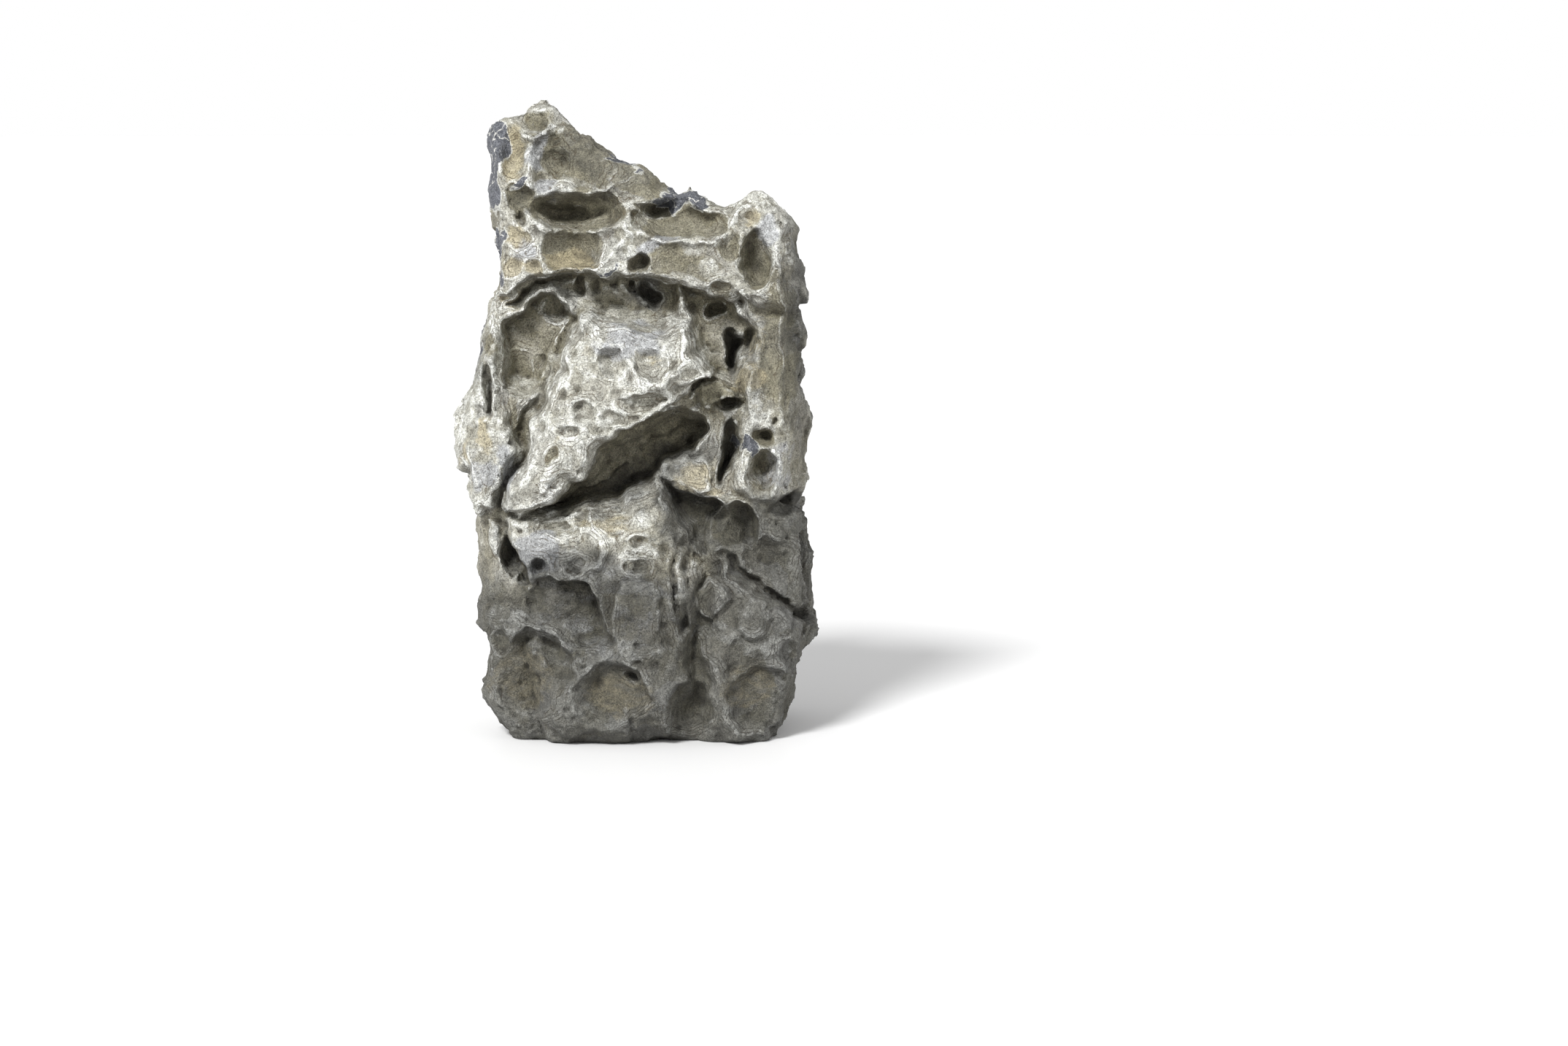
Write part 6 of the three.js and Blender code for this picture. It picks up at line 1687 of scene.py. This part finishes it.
@dataclass
class Weathering:
    """The finest wear that is real shape: grain, chipped facets, pits and fine cut lines.

    Its sizes are the inputs of its node tree, by name.
    """

    sizes: dict[str, float] = field(default_factory=lambda: {
        "Grain Size": 3.4, "Grain Depth": 0.28, "Chip Size": 9.0, "Chip Depth": 0.16,
        "Pit Size": 6.5, "Pit Depth": 0.9, "Score Size": 4.0, "Score Depth": 0.5,
        "Foot Guard": 5.0,
    })
    seed: int = 11
    seed_step: Triple = (17.3, 29.1, 41.7)
    stir_size: float = 9.0
    stir_reach: float = 2.5
    pit_wall: Pair = (0.34, 0.12)
    pitted: Pair = (0.45, 0.75)
    score_stretch: Triple = (0.3, 0.6, 1.0)
    score_width: float = 0.04
    scored_size: float = 24.0
    scored: Pair = (0.5, 0.62)
    guarded: Pair = (0.15, 1.0)

    def tree(self) -> tuple[bpy.types.NodeTree, dict[str, str]]:
        """Builds the tree that moves the skin along its normals.

        Returns:
            The tree, and the identifier of each named input.
        """
        tree = bpy.data.node_groups.new("stone_weathering", "GeometryNodeTree")
        sockets = {"Geometry": "NodeSocketGeometry"}
        sockets.update({name: "NodeSocketFloat" for name in self.sizes})
        sockets.update({"Seed": "NodeSocketInt", "Material": "NodeSocketMaterial"})
        identifiers = {}
        for name, kind in sockets.items():
            item = tree.interface.new_socket(name, in_out="INPUT", socket_type=kind)
            identifiers[name] = item.identifier
        tree.interface.new_socket("Geometry", in_out="OUTPUT", socket_type="NodeSocketGeometry")
        self.fill(Graph(tree))
        return tree, identifiers

    def fill(self, graph: Graph) -> None:
        """Draws the tree's nodes.

        Args:
            graph: The empty tree.
        """
        given = graph.node("NodeGroupInput")
        place = graph.node("GeometryNodeInputPosition").value()
        normal = graph.node("GeometryNodeInputNormal").value()
        shift = graph.vector("SCALE", {0: self.seed_step, "Scale": given.value("Seed")})
        seeded = graph.vector("ADD", {0: place, 1: shift})
        height = graph.part(place, "Z")

        grain = graph.noise(seeded, given.value("Grain Size"), 3.0, 0.5) - 0.5
        stirred = graph.stir(seeded, self.stir_size, self.stir_reach)
        chip = graph.facets(stirred, given.value("Chip Size"))
        pits = graph.cells(stirred, given.value("Pit Size"))
        chosen = graph.part(pits.value("Color"), "X")
        pit = pits.value("Distance").ramp(*self.pit_wall) * chosen.ramp(*self.pitted)
        slanted = graph.stretch(graph.turned(stirred, SLANT), self.score_stretch)
        score = abs(graph.noise(slanted, given.value("Score Size"), 2.0, 0.5) - 0.5)
        cut = score.ramp(self.score_width, 0.0)
        cut = cut * graph.noise(seeded, self.scored_size).ramp(*self.scored)
        rise = grain * given.value("Grain Depth") * 2.0 + chip * given.value("Chip Depth")
        rise = rise - pit * given.value("Pit Depth") - cut * given.value("Score Depth")
        guard = (height / given.value("Foot Guard")).ramp(*self.guarded)
        offset = graph.vector("SCALE", {0: normal, "Scale": rise * guard})
        moved = graph.node("GeometryNodeSetPosition", None, {
            "Geometry": given.value("Geometry"), "Offset": offset,
        })
        real = graph.node("GeometryNodeRealizeInstances", None, {0: moved.value()})
        dressed = graph.node("GeometryNodeSetMaterial", None, {
            "Geometry": real.value(), "Material": given.value("Material"),
        })
        graph.node("NodeGroupOutput", None, {0: dressed.value()})

    def add_to(self, piece: bpy.types.Object, material: bpy.types.Material) -> None:
        """Puts the weathering on a piece as a modifier.

        Args:
            piece: The skin, with its lengths in millimetres.
            material: The finish that the tree sets.
        """
        tree, identifiers = self.tree()
        modifier = piece.modifiers.new("weathering", "NODES")
        modifier.node_group = tree
        given = {**self.sizes, "Seed": self.seed, "Material": material}
        for name, setting in given.items():
            modifier[identifiers[name]] = setting


@dataclass
class StoneMaterial:
    """Weathered limestone, from the numbers stored on the skin and from fine noise."""

    finish: StoneFinish = StoneFinish()
    stirs: tuple[Pair, ...] = ((20.0, 6.0), (4.0, 1.2))
    panel_size: float = 15.0
    mottle_size: float = 17.0
    cloud_size: float = 7.0
    thin_size: float = 4.5
    grain_size: float = 2.4
    speckle_size: float = 0.7
    scratch_size: float = 1.4
    chip_size: float = 4.0
    vein_size: float = 12.0
    vein_stir: Pair = (9.0, 3.0)
    thin_stretch: Triple = (0.5, 1.0, 1.5)
    scratch_stretch: Triple = (0.25, 0.6, 1.3)
    edge_spread: float = 0.8
    line_start: float = 20.0
    line_step: float = 1.7
    line_wander: Pair = (5.0, 1.6)
    free_lines: Pair = (24.0, 3.0)
    line_widths: Pair = (0.16, 0.12)
    line_core: float = 0.03

    def build(self) -> bpy.types.Material:
        """Makes the material.

        Returns:
            The finished material.
        """
        material = bpy.data.materials.new("weathered_limestone")
        material.use_nodes = True
        graph = Graph(material.node_tree)
        coordinates = graph.node("ShaderNodeTexCoord").value("Object")
        self.graph = graph
        self.place = self.stirred = graph.stretch(coordinates, (MM_PER_METRE,) * 3)
        for size, reach in self.stirs:
            self.stirred = graph.stir(self.stirred, size, reach)
        self.mottle = graph.noise(self.place, self.mottle_size, 4.0, 0.6)
        self.grain = graph.noise(self.place, self.grain_size, 4.0, 0.7)
        self.speckle = graph.noise(self.place, self.speckle_size, 2.0, 0.7)
        self.cloud = graph.noise(self.stirred, self.cloud_size, 5.0, 0.68)
        flattened = graph.stretch(self.stirred, self.thin_stretch)
        self.thin = graph.noise(flattened, self.thin_size, 4.0, 0.66)
        self.broad = graph.attribute("broad")
        self.fine = graph.attribute("fine")
        self.bend = graph.attribute("bend")
        self.rim = graph.attribute("rim")
        self.rim_near = graph.attribute("rim_near")
        self.upward = graph.part(graph.node("ShaderNodeNewGeometry").value("Normal"), "Z")
        slate = self.patch(Tone.SLATE, self.cloud, 0.46, 0.50)
        self.olive = self.patch(Tone.OLIVE, self.thin)
        # The share of painted shade
        self.painted_shade = self.patch(Tone.SHADE, self.cloud, 0.10, 0.90)
        lines = self.growth_lines()
        finish = self.finish
        colour = self.crested(self.shaded_and_bared(self.toned(self.ground())))
        colour = self.slated(self.grained(colour), slate)
        colour = graph.blend(lines * finish.line_share * (1.0 - slate), colour, finish.line)
        roughness = finish.roughness - slate * (finish.roughness - finish.slate_roughness)
        roughness = roughness + self.grain.spread(finish.roughness_spread)
        shader = graph.node("ShaderNodeBsdfPrincipled", None, {
            "Base Color": self.darkened(colour), "Roughness": roughness, "IOR": finish.ior,
            "Normal": self.bumps(lines),
        })
        graph.node("ShaderNodeOutputMaterial", None, {0: shader.value()})
        return material

    def patch(self, tone: Tone, edge: Value, low: float = 0.42, high: float = 0.62) -> Value:
        """The share of a placed tone, its edge broken up by a noise: none at low, full at high."""
        return (self.graph.attribute(tone.value) + edge.spread(self.edge_spread)).ramp(low, high)

    def ground(self) -> Value:
        """Mixes the khaki ground: panels of slightly different tone, clouded and grained.

        Returns:
            The ground colour.
        """
        graph, finish = self.graph, self.finish
        panels = graph.cells(self.stirred, self.panel_size).value("Color")
        shade = self.mottle * 0.55 + graph.part(panels, "X") * 0.3 + self.grain * 0.35 - 0.1
        ground = graph.blend(shade.ramp(0.36, 0.66), finish.warm_grey, finish.grey)
        bluish = graph.part(panels, "Y").ramp(0.6, 1.0) * finish.panel_share
        return graph.blend(bluish, ground, finish.blue)

    def toned(self, base: Value) -> Value:
        """Lays the placed tones over the ground, the tones that follow hollows and crests, and paler
        upward faces, partly dust and partly painted top light.

        Args:
            base: The ground colour.

        Returns:
            The toned colour.
        """
        graph, finish = self.graph, self.finish
        depth = (self.broad + self.thin.spread(0.12)).ramp(0.52, 0.74)
        base = graph.blend(depth.most(self.olive * 0.85) * finish.olive_share, base, finish.olive)
        raised = (0.56 - self.fine + self.cloud.spread(0.5)).ramp(0.0, 0.16)
        swollen = (0.46 - self.broad + self.cloud.spread(0.2)).ramp(0.0, 0.14) * 0.4
        # Upward faces paler: partly dust, partly painted top light
        dust_and_top_light = (self.upward + self.cloud.spread(0.8)).ramp(0.25, 0.85) * 0.4
        pale = self.patch(Tone.PALE, self.cloud, 0.36, 0.66) * (0.35 + raised * 0.65)
        pale = pale.most(swollen.most(dust_and_top_light) * (1.0 - self.olive * 0.9))
        base = graph.blend(pale * finish.pale_share, base, finish.pale)
        bright = (self.cloud * 0.55 + self.grain * 0.45).ramp(0.49, 0.60) * pale
        base = graph.blend(bright * finish.bright_share, base, finish.crest)
        ochre = self.patch(Tone.OCHRE, self.thin, 0.40, 0.72) * finish.ochre_share
        blue = self.patch(Tone.BLUE, self.cloud, 0.40, 0.72) * finish.blue_share
        return graph.blend(blue, graph.blend(ochre, base, finish.ochre), finish.blue)

    def shaded_and_bared(self, base: Value) -> Value:
        """Paints shade into the creases, hollows and undersides, and bares the pale crests.

        Args:
            base: The toned colour.

        Returns:
            The colour with painted shade and bared crests.
        """
        graph, finish = self.graph, self.finish
        # Painted shade: cavities, broad hollows, creases and downward faces are darkened in the colour
        sunk = (self.fine + self.grain.spread(0.2)).ramp(0.55, 0.77)
        deep = (self.broad + self.thin.spread(0.08)).ramp(0.68, 0.90)
        creased = (0.0 - self.bend + self.grain.spread(0.3)).ramp(0.10, 0.46)
        under = (0.0 - self.upward + self.thin.spread(0.5)).ramp(0.25, 0.85)
        dark = sunk.most(deep * 0.6).most(creased).most(under * 0.8)
        base = graph.blend(dark * finish.hollow_share, base, finish.hollow)
        bared = (self.bend + self.grain.spread(0.8) + self.cloud.spread(1.0)).ramp(0.24, 0.60)
        light = graph.blend(self.speckle.ramp(0.40, 0.60), finish.pale, finish.crest)
        return graph.blend(bared * (0.7 - self.olive * 0.35 - self.painted_shade * 0.2), base, light)

    def crested(self, base: Value) -> Value:
        """Lays the crisp pale crests where forms meet.

        Args:
            base: The colour with painted shade and bared crests.

        Returns:
            The crested colour.
        """
        off = abs(self.rim + self.cloud.spread(3.0) + self.grain.spread(1.2))
        raised = (0.50 - self.fine + self.bend * 0.3 + self.grain.spread(0.3)).ramp(0.0, 0.14)
        broken = (self.thin * 0.5 + self.mottle * 0.5).ramp(0.46, 0.56)
        crest = off.ramp(1.0, 0.2) * self.rim_near.ramp(3.2, 2.0) * broken * raised
        crest = crest * (0.6 - self.olive * 0.25 - self.painted_shade * 0.25)
        return self.graph.blend(crest, base, self.finish.crest)

    def grained(self, base: Value) -> Value:
        """Gives the colour its fine grain and its dark specks.

        Args:
            base: The crested colour.

        Returns:
            The grained colour.
        """
        graph, finish = self.graph, self.finish
        depth = 1.0 + self.grain.spread(1.5) + self.speckle.spread(2.4)
        base = graph.vector("SCALE", {0: base, "Scale": depth})
        spots = (self.speckle + self.grain.spread(0.9)).ramp(0.40, 0.26)
        return graph.blend(spots * finish.spot_share, base, finish.hollow)

    def slated(self, base: Value, slate: Value) -> Value:
        """Lays the slate with its white veins and its pale rim.

        Args:
            base: The colour of the rest.
            slate: The share of slate.

        Returns:
            The colour of the whole.
        """
        graph, finish = self.graph, self.finish
        rim = self.patch(Tone.SLATE, self.cloud, 0.38, 0.42) - slate
        streak = (self.speckle * 0.6 + self.grain * 0.4).ramp(0.42, 0.62)
        dark = graph.blend(streak * finish.streak_share, finish.slate, finish.slate_light)
        stirred = graph.stir(self.place, *self.vein_stir)
        plates = graph.cells(stirred, self.vein_size, "DISTANCE_TO_EDGE")
        vein = plates.value("Distance").ramp(0.03, 0.01) * self.grain.ramp(0.44, 0.54)
        dark = graph.blend(vein * finish.vein_share, dark, finish.vein)
        light = graph.blend(rim * finish.slate_rim_share, base, finish.crest)
        return graph.blend(slate, light, dark)

    def darkened(self, base: Value) -> Value:
        """Paints shade: dims and greys the places that the painted shade covers.

        Args:
            base: The colour before the painted shade.

        Returns:
            The colour with painted shade.
        """
        graph, finish = self.graph, self.finish
        base = graph.blend(self.painted_shade * (0.62 - self.thin * 0.5), base, finish.shade)
        return graph.vector("SCALE", {0: base, "Scale": 1.0 - self.painted_shade * finish.painted_shade_dimming})

    def growth_lines(self) -> Value:
        """Draws bundles of thin brown lines that follow the rims of the forms, like a map's contours.

        Returns:
            The share of growth line.
        """
        graph = self.graph
        bent, frayed = self.line_wander
        along = (self.rim + self.line_start) / self.line_step
        along = along + self.mottle.spread(bent) + self.cloud.spread(frayed)
        near = self.rim_near.ramp(5.0, 3.0) * self.mottle.ramp(0.42, 0.56)
        free = self.mottle * self.free_lines[0] + self.cloud * self.free_lines[1]
        far = self.rim_near.ramp(3.0, 5.0) * self.cloud.ramp(0.40, 0.54) * 0.8
        shares = []
        for level, shown, width in zip((along, free), (near, far), self.line_widths):
            wave = graph.node("ShaderNodeMath", {"operation": "FRACT"}, {0: level}).value()
            shares.append(abs(wave - 0.5).ramp(width, self.line_core) * shown)
        return shares[0].most(shares[1]) * self.grain.ramp(0.34, 0.54)

    def bumps(self, lines: Value) -> Value:
        """The relief that is too fine for the mesh, in millimetres.

        Args:
            lines: The share of growth line.

        Returns:
            The bumped normal.
        """
        graph = self.graph
        leaning = graph.stretch(graph.turned(self.stirred, SLANT), self.scratch_stretch)
        scratches = graph.noise(leaning, self.scratch_size, 3.0, 0.6)
        height = self.grain * 1.3 + self.speckle * 0.4 + scratches * 0.7
        height = height + graph.facets(self.stirred, self.chip_size) * 0.6 - lines * 0.5
        inputs = {"Strength": 1.0, "Distance": self.finish.bump_depth, "Height": height}
        return graph.node("ShaderNodeBump", None, inputs).value()


@dataclass
class SeiryuStone:
    """The stone itself: one piece, from its field to its finish."""

    step: float = 1.05
    triangles: int = 194000
    fine_radius: float = 2.6
    broad_radius: float = 12.0
    bend_rounds: int = 1
    face_depth: Pair = (-24.0, -4.0)
    face_turn: Pair = (-0.85, -0.35)
    patch_wander: float = 3.0
    patch_wander_size: float = 20.0
    scatter: float = 0.42
    scatter_size: float = 55.0
    scatter_squash: float = 0.7
    scatter_shift: float = 0.7
    drawn_depth: float = 12.0
    drawn_turn: float = 0.5
    weathering: Weathering = field(default_factory=Weathering)
    material: StoneMaterial = field(default_factory=StoneMaterial)

    def skin(self, stone: StoneField) -> bpy.types.Object:
        """Makes the closed skin, in millimetres.

        Args:
            stone: The field to lay the skin over.

        Returns:
            The skin's object.
        """
        points, faces = stone.net()
        mesh = bpy.data.meshes.new("stone_skin")
        mesh.vertices.add(len(points))
        mesh.vertices.foreach_set("co", points.astype(np.float32).ravel())
        mesh.loops.add(faces.size)
        mesh.loops.foreach_set("vertex_index", faces.astype(np.int32).ravel())
        mesh.polygons.add(len(faces))
        mesh.polygons.foreach_set("loop_start", np.arange(0, faces.size, 4, dtype=np.int32))
        mesh.update(calc_edges=True)
        return placed("stone_skin", mesh)

    def finished_mesh(self, skin: bpy.types.Object) -> bpy.types.Mesh:
        """Weathers and thins the skin, and makes the result plain.

        Args:
            skin: The skin, which is deleted.

        Returns:
            The plain mesh, still in millimetres.
        """
        self.weathering.add_to(skin, self.material.build())
        thinner = skin.modifiers.new("thin", "DECIMATE")
        thinner.ratio = self.triangles / (2 * len(skin.data.polygons))
        thinner.use_collapse_triangulate = True
        graph = bpy.context.evaluated_depsgraph_get()
        mesh = bpy.data.meshes.new_from_object(skin.evaluated_get(graph))
        rough = skin.data
        bpy.data.objects.remove(skin)
        bpy.data.meshes.remove(rough)
        self.keep_largest_part(mesh)
        return mesh

    @staticmethod
    def keep_largest_part(mesh: bpy.types.Mesh) -> None:
        """Deletes what shares no edge with the skin, such as the walls of bubbles shut in the stone.

        Args:
            mesh: The plain mesh, which keeps its part with the most faces.
        """
        shape = bmesh.new()
        shape.from_mesh(mesh)
        parts: list[list[bmesh.types.BMFace]] = []
        left = set(shape.faces)
        while left:
            part = [left.pop()]
            for face in part:
                around = {other for edge in face.edges for other in edge.link_faces} & left
                left -= around
                part.extend(around)
            parts.append(part)
        loose = [face for part in sorted(parts, key=len)[:-1] for face in part]
        bmesh.ops.delete(shape, geom=loose, context="FACES")
        shape.to_mesh(mesh)
        shape.free()
        log.info("deleted %d faces of %d separate parts", len(loose), len(parts) - 1)

    def tone_covers(self, stone: StoneField, points: Array, frontness: Array) -> dict[str, Array]:
        """How much of each tone the points of the skin show.

        Args:
            stone: The field that the skin was laid over.
            points: The points in millimetres.
            frontness: 1 on the face and 0 on the back.

        Returns:
            The covers from 0 to 1, by the tones' names.
        """
        x, y, z = points.T
        shown = {tone: np.zeros(len(points)) for tone in Tone}
        drawn_x, drawn_z = stone.face_stray.at(x, z)
        for form in FACE:
            if form.tone is None:
                continue
            cover = fade(form.outside(drawn_x, drawn_z), TONE_FADE, -TONE_FADE)
            for tone, values in shown.items():
                over = tone is form.tone
                shown[tone] = np.maximum(values, cover) if over else values * (1.0 - cover)
        wx = x + self.patch_wander * WANDER.at(x, y, z, self.patch_wander_size, 0.5)
        wz = z + self.patch_wander * WANDER.at(x, y, z, self.patch_wander_size, 1.5)
        shown = {tone: values * frontness for tone, values in shown.items()}
        for tone, patches in PATCHES.items():
            for patch in patches:
                share = 1.0 if patch.all_round else frontness
                shown[tone] = np.maximum(shown[tone], patch.cover(wx, wz) * share)
        covers = {}
        for index, (tone, values) in enumerate(shown.items()):
            shift = self.scatter_shift * index
            wander = WANDER.at(x, y, self.scatter_squash * z, self.scatter_size, shift)
            scattered = np.maximum(BACK_SPREAD[tone] + self.scatter * wander, 0.0)
            covers[tone.value] = np.clip(values + scattered * (1.0 - frontness), 0.0, 1.0)
        return covers

    def rims(self, stone: StoneField, points: Array, normals: Array) -> Array:
        """How far each point lies from the nearest pale rim of a form.

        Args:
            stone: The field that the skin was laid over.
            points: The points in millimetres.
            normals: The skin's normals there.

        Returns:
            The distances, below 0 on the form's inner side.
        """
        x, y, z = points.T
        on_face = (y < -self.drawn_depth) | (normals[:, 1] < -self.drawn_turn)
        on_back = ~on_face & ((y > self.drawn_depth) | (normals[:, 1] > self.drawn_turn))
        on_side = ~on_face & ~on_back
        away = np.full(len(points), FAR_FROM_RIM)
        for chosen, forms, (first, second) in (
            (on_face, FACE, stone.face_stray.at(x, z)),
            (on_back, BACK, stone.back_stray.at(x, z)),
            (on_side & (x < 0.0), LEFT_FLANK, stone.on_flank(LEFT, y, z)),
            (on_side & (x >= 0.0), RIGHT_FLANK, stone.on_flank(RIGHT, y, z)),
        ):
            for form in forms:
                near = chosen & form.near(first, second, FAR_FROM_RIM)
                found = form.from_rim(first[near], second[near])
                away[near] = np.where(np.abs(found) < np.abs(away[near]), found, away[near])
        return away

    def tint(self, mesh: bpy.types.Mesh, stone: StoneField) -> None:
        """Stores the hollows and the tones on the skin.

        Args:
            mesh: The finished mesh in millimetres.
            stone: The field that the skin was laid over.
        """
        points = self.points_of(mesh)
        normals = np.empty(len(points) * 3, np.float32)
        mesh.vertex_normals.foreach_get("vector", normals)
        normals = normals.reshape(-1, 3).astype(float)
        frontness = fade(-normals[:, 1], *self.face_turn) * fade(-points[:, 1], *self.face_depth)
        numbers = {
            "fine": SolidShare(stone, self.fine_radius).at(points),
            "broad": SolidShare(stone, self.broad_radius).at(points),
            "bend": self.bend(mesh, points, normals),
        }
        numbers["rim"] = self.rims(stone, points, normals)
        numbers["rim_near"] = np.abs(numbers["rim"])
        numbers.update(self.tone_covers(stone, points, frontness))
        for name, values in numbers.items():
            layer = mesh.attributes.new(name, "FLOAT", "POINT")
            layer.data.foreach_set("value", values.astype(np.float32))

    def bend(self, mesh: bpy.types.Mesh, points: Array, normals: Array) -> Array:
        """How sharply the skin bends at each point.

        Args:
            mesh: The finished mesh.
            points: Its points.
            normals: Its normals at the points.

        Returns:
            The bend in radians, above 0 on an edge and below 0 in a crease.
        """
        ends = np.empty(2 * len(mesh.edges), np.int32)
        mesh.edges.foreach_get("vertices", ends)
        first, last = ends.reshape(-1, 2).T
        along = points[last] - points[first]
        length = np.linalg.norm(along, axis=1)
        turn = np.einsum("ij,ij->i", normals[last] - normals[first], along) / np.maximum(length, TINY)
        count = np.bincount(ends, minlength=len(points))
        bend = self.gathered(turn, turn, first, last, len(points)) / count
        for _ in range(self.bend_rounds):
            around = self.gathered(bend[last], bend[first], first, last, len(points)) / count
            bend = 0.5 * (bend + around)
        return bend

    @staticmethod
    def gathered(to_first: Array, to_last: Array, first: Array, last: Array, size: int) -> Array:
        """Adds up, at each point, numbers of the edges that end there."""
        total = np.bincount(first, weights=to_first, minlength=size)
        return total + np.bincount(last, weights=to_last, minlength=size)

    @staticmethod
    def points_of(mesh: bpy.types.Mesh) -> Array:
        """Reads a mesh's points.

        Args:
            mesh: The mesh.

        Returns:
            The points, as an array of three columns.
        """
        flat = np.empty(len(mesh.vertices) * 3, np.float32)
        mesh.vertices.foreach_get("co", flat)
        return flat.reshape(-1, 3).astype(float)

    def fit(self, mesh: bpy.types.Mesh) -> None:
        """Brings the mesh to metres, exactly into the box of the stone's solid.

        Args:
            mesh: The finished mesh in millimetres.
        """
        low, high = (np.array(corner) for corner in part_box(STONE_NODE))
        points = self.points_of(mesh)
        least, most = points.min(axis=0), points.max(axis=0)
        fitted = low + (points - least) / (most - least) * (high - low)
        mesh.vertices.foreach_set("co", fitted.astype(np.float32).ravel())
        mesh.update()

    def build(self) -> bpy.types.Object:
        """Makes the stone and fastens it to its body.

        Returns:
            The finished piece.
        """
        stone = StoneField(self.step)
        log.info("field of %s samples", stone.values.shape)
        mesh = self.finished_mesh(self.skin(stone))
        mesh.name = "seiryu_stone_skin"
        self.tint(mesh, stone)
        self.fit(mesh)
        mesh.shade_smooth()
        piece = placed("stone_body", mesh)
        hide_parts(STONE_NODE)
        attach(piece, "root")
        log.info("%s: %d triangles", piece.name, len(mesh.polygons))
        return piece


@dataclass
class Studio:
    """The pale floor, the soft light and the camera. Its lengths are in metres."""

    pixel: float = 0.341e-3
    image: tuple[int, int] = (2149, 1433)
    axis_column: float = 869.0
    foot_row: float = 1020.0
    stone_depth: float = -0.045
    elevation: float = 7.0
    lens: float = 90.0
    sensor: float = 36.0
    floor_radius: float = 12.0
    floor_sides: int = 96
    key_angles: Pair = (24.0, 40.0)
    key_width: float = 14.0
    key_strength: float = 3.3
    sky_low: float = 1.0
    sky_high: float = 0.46
    sky_fade: Pair = (0.14, 0.70)
    finish: FloorFinish = FloorFinish()

    def floor(self) -> None:
        """Lays the round floor."""
        turns = [2.0 * math.pi * side / self.floor_sides for side in range(self.floor_sides)]
        radius = self.floor_radius
        rim = [(radius * math.cos(turn), radius * math.sin(turn), 0.0) for turn in turns]
        mesh = bpy.data.meshes.new("floor")
        mesh.from_pydata(rim, [], [tuple(range(self.floor_sides))])
        material = bpy.data.materials.new("pale_floor")
        material.use_nodes = True
        graph = Graph(material.node_tree)
        shader = graph.node("ShaderNodeBsdfPrincipled", None, {
            "Base Color": self.finish.colour, "Roughness": self.finish.roughness,
        })
        graph.node("ShaderNodeOutputMaterial", None, {0: shader.value()})
        mesh.materials.append(material)
        floor = placed("floor", mesh)

    def sky(self) -> None:
        """Makes the surroundings white near the horizon and dimmer above."""
        world = bpy.data.worlds.new("studio")
        world.use_nodes = True
        bpy.context.scene.world = world
        graph = Graph(world.node_tree)
        height = graph.part(graph.node("ShaderNodeTexCoord").value("Generated"), "Z")
        strength = self.sky_low - height.ramp(*self.sky_fade) * (self.sky_low - self.sky_high)
        shader = graph.node("ShaderNodeBackground", None, {
            "Color": (1.0, 1.0, 1.0, 1.0), "Strength": strength,
        })
        graph.node("ShaderNodeOutputWorld", None, {0: shader.value()})

    def key(self) -> None:
        """Shines the soft main light from above, in front and to the left."""
        lamp = bpy.data.lights.new("key", "SUN")
        lamp.angle = math.radians(self.key_width)
        lamp.energy = self.key_strength
        holder = placed("key", lamp)
        left, high = (math.radians(angle) for angle in self.key_angles)
        towards = (math.cos(high) * math.sin(left), math.cos(high) * math.cos(left), -math.sin(high))
        holder.rotation_euler = Vector(towards).to_track_quat("-Z", "Y").to_euler()

    def camera(self) -> None:
        """Sets the camera, at the distance where one pixel of the image is as wide as the scale says."""
        columns, rows = self.image
        tilt = math.radians(self.elevation)
        across = (columns / 2 - self.axis_column) * self.pixel
        up = (self.foot_row - rows / 2) * self.pixel / math.cos(tilt)
        target = Vector((across, self.stone_depth, up))
        distance = columns * self.pixel * self.lens / self.sensor
        camera = bpy.data.cameras.new("camera")
        camera.lens = self.lens
        camera.sensor_width = self.sensor
        holder = placed("camera", camera)
        holder.location = target + Vector((0.0, -math.cos(tilt), math.sin(tilt))) * distance
        holder.rotation_euler = (target - holder.location).to_track_quat("-Z", "Y").to_euler()
        bpy.context.scene.camera = holder

    def build(self) -> None:
        """Sets up floor, light and camera."""
        self.camera()
        self.floor()
        self.sky()
        self.key()
        bpy.context.scene.view_settings.view_transform = "Standard"


def main() -> None:
    """Builds the studio and the stone."""
    logging.basicConfig(level=logging.INFO, format="%(name)s: %(message)s")
    Studio().build()
    SeiryuStone().build()


if __name__ == "__main__":
    main()
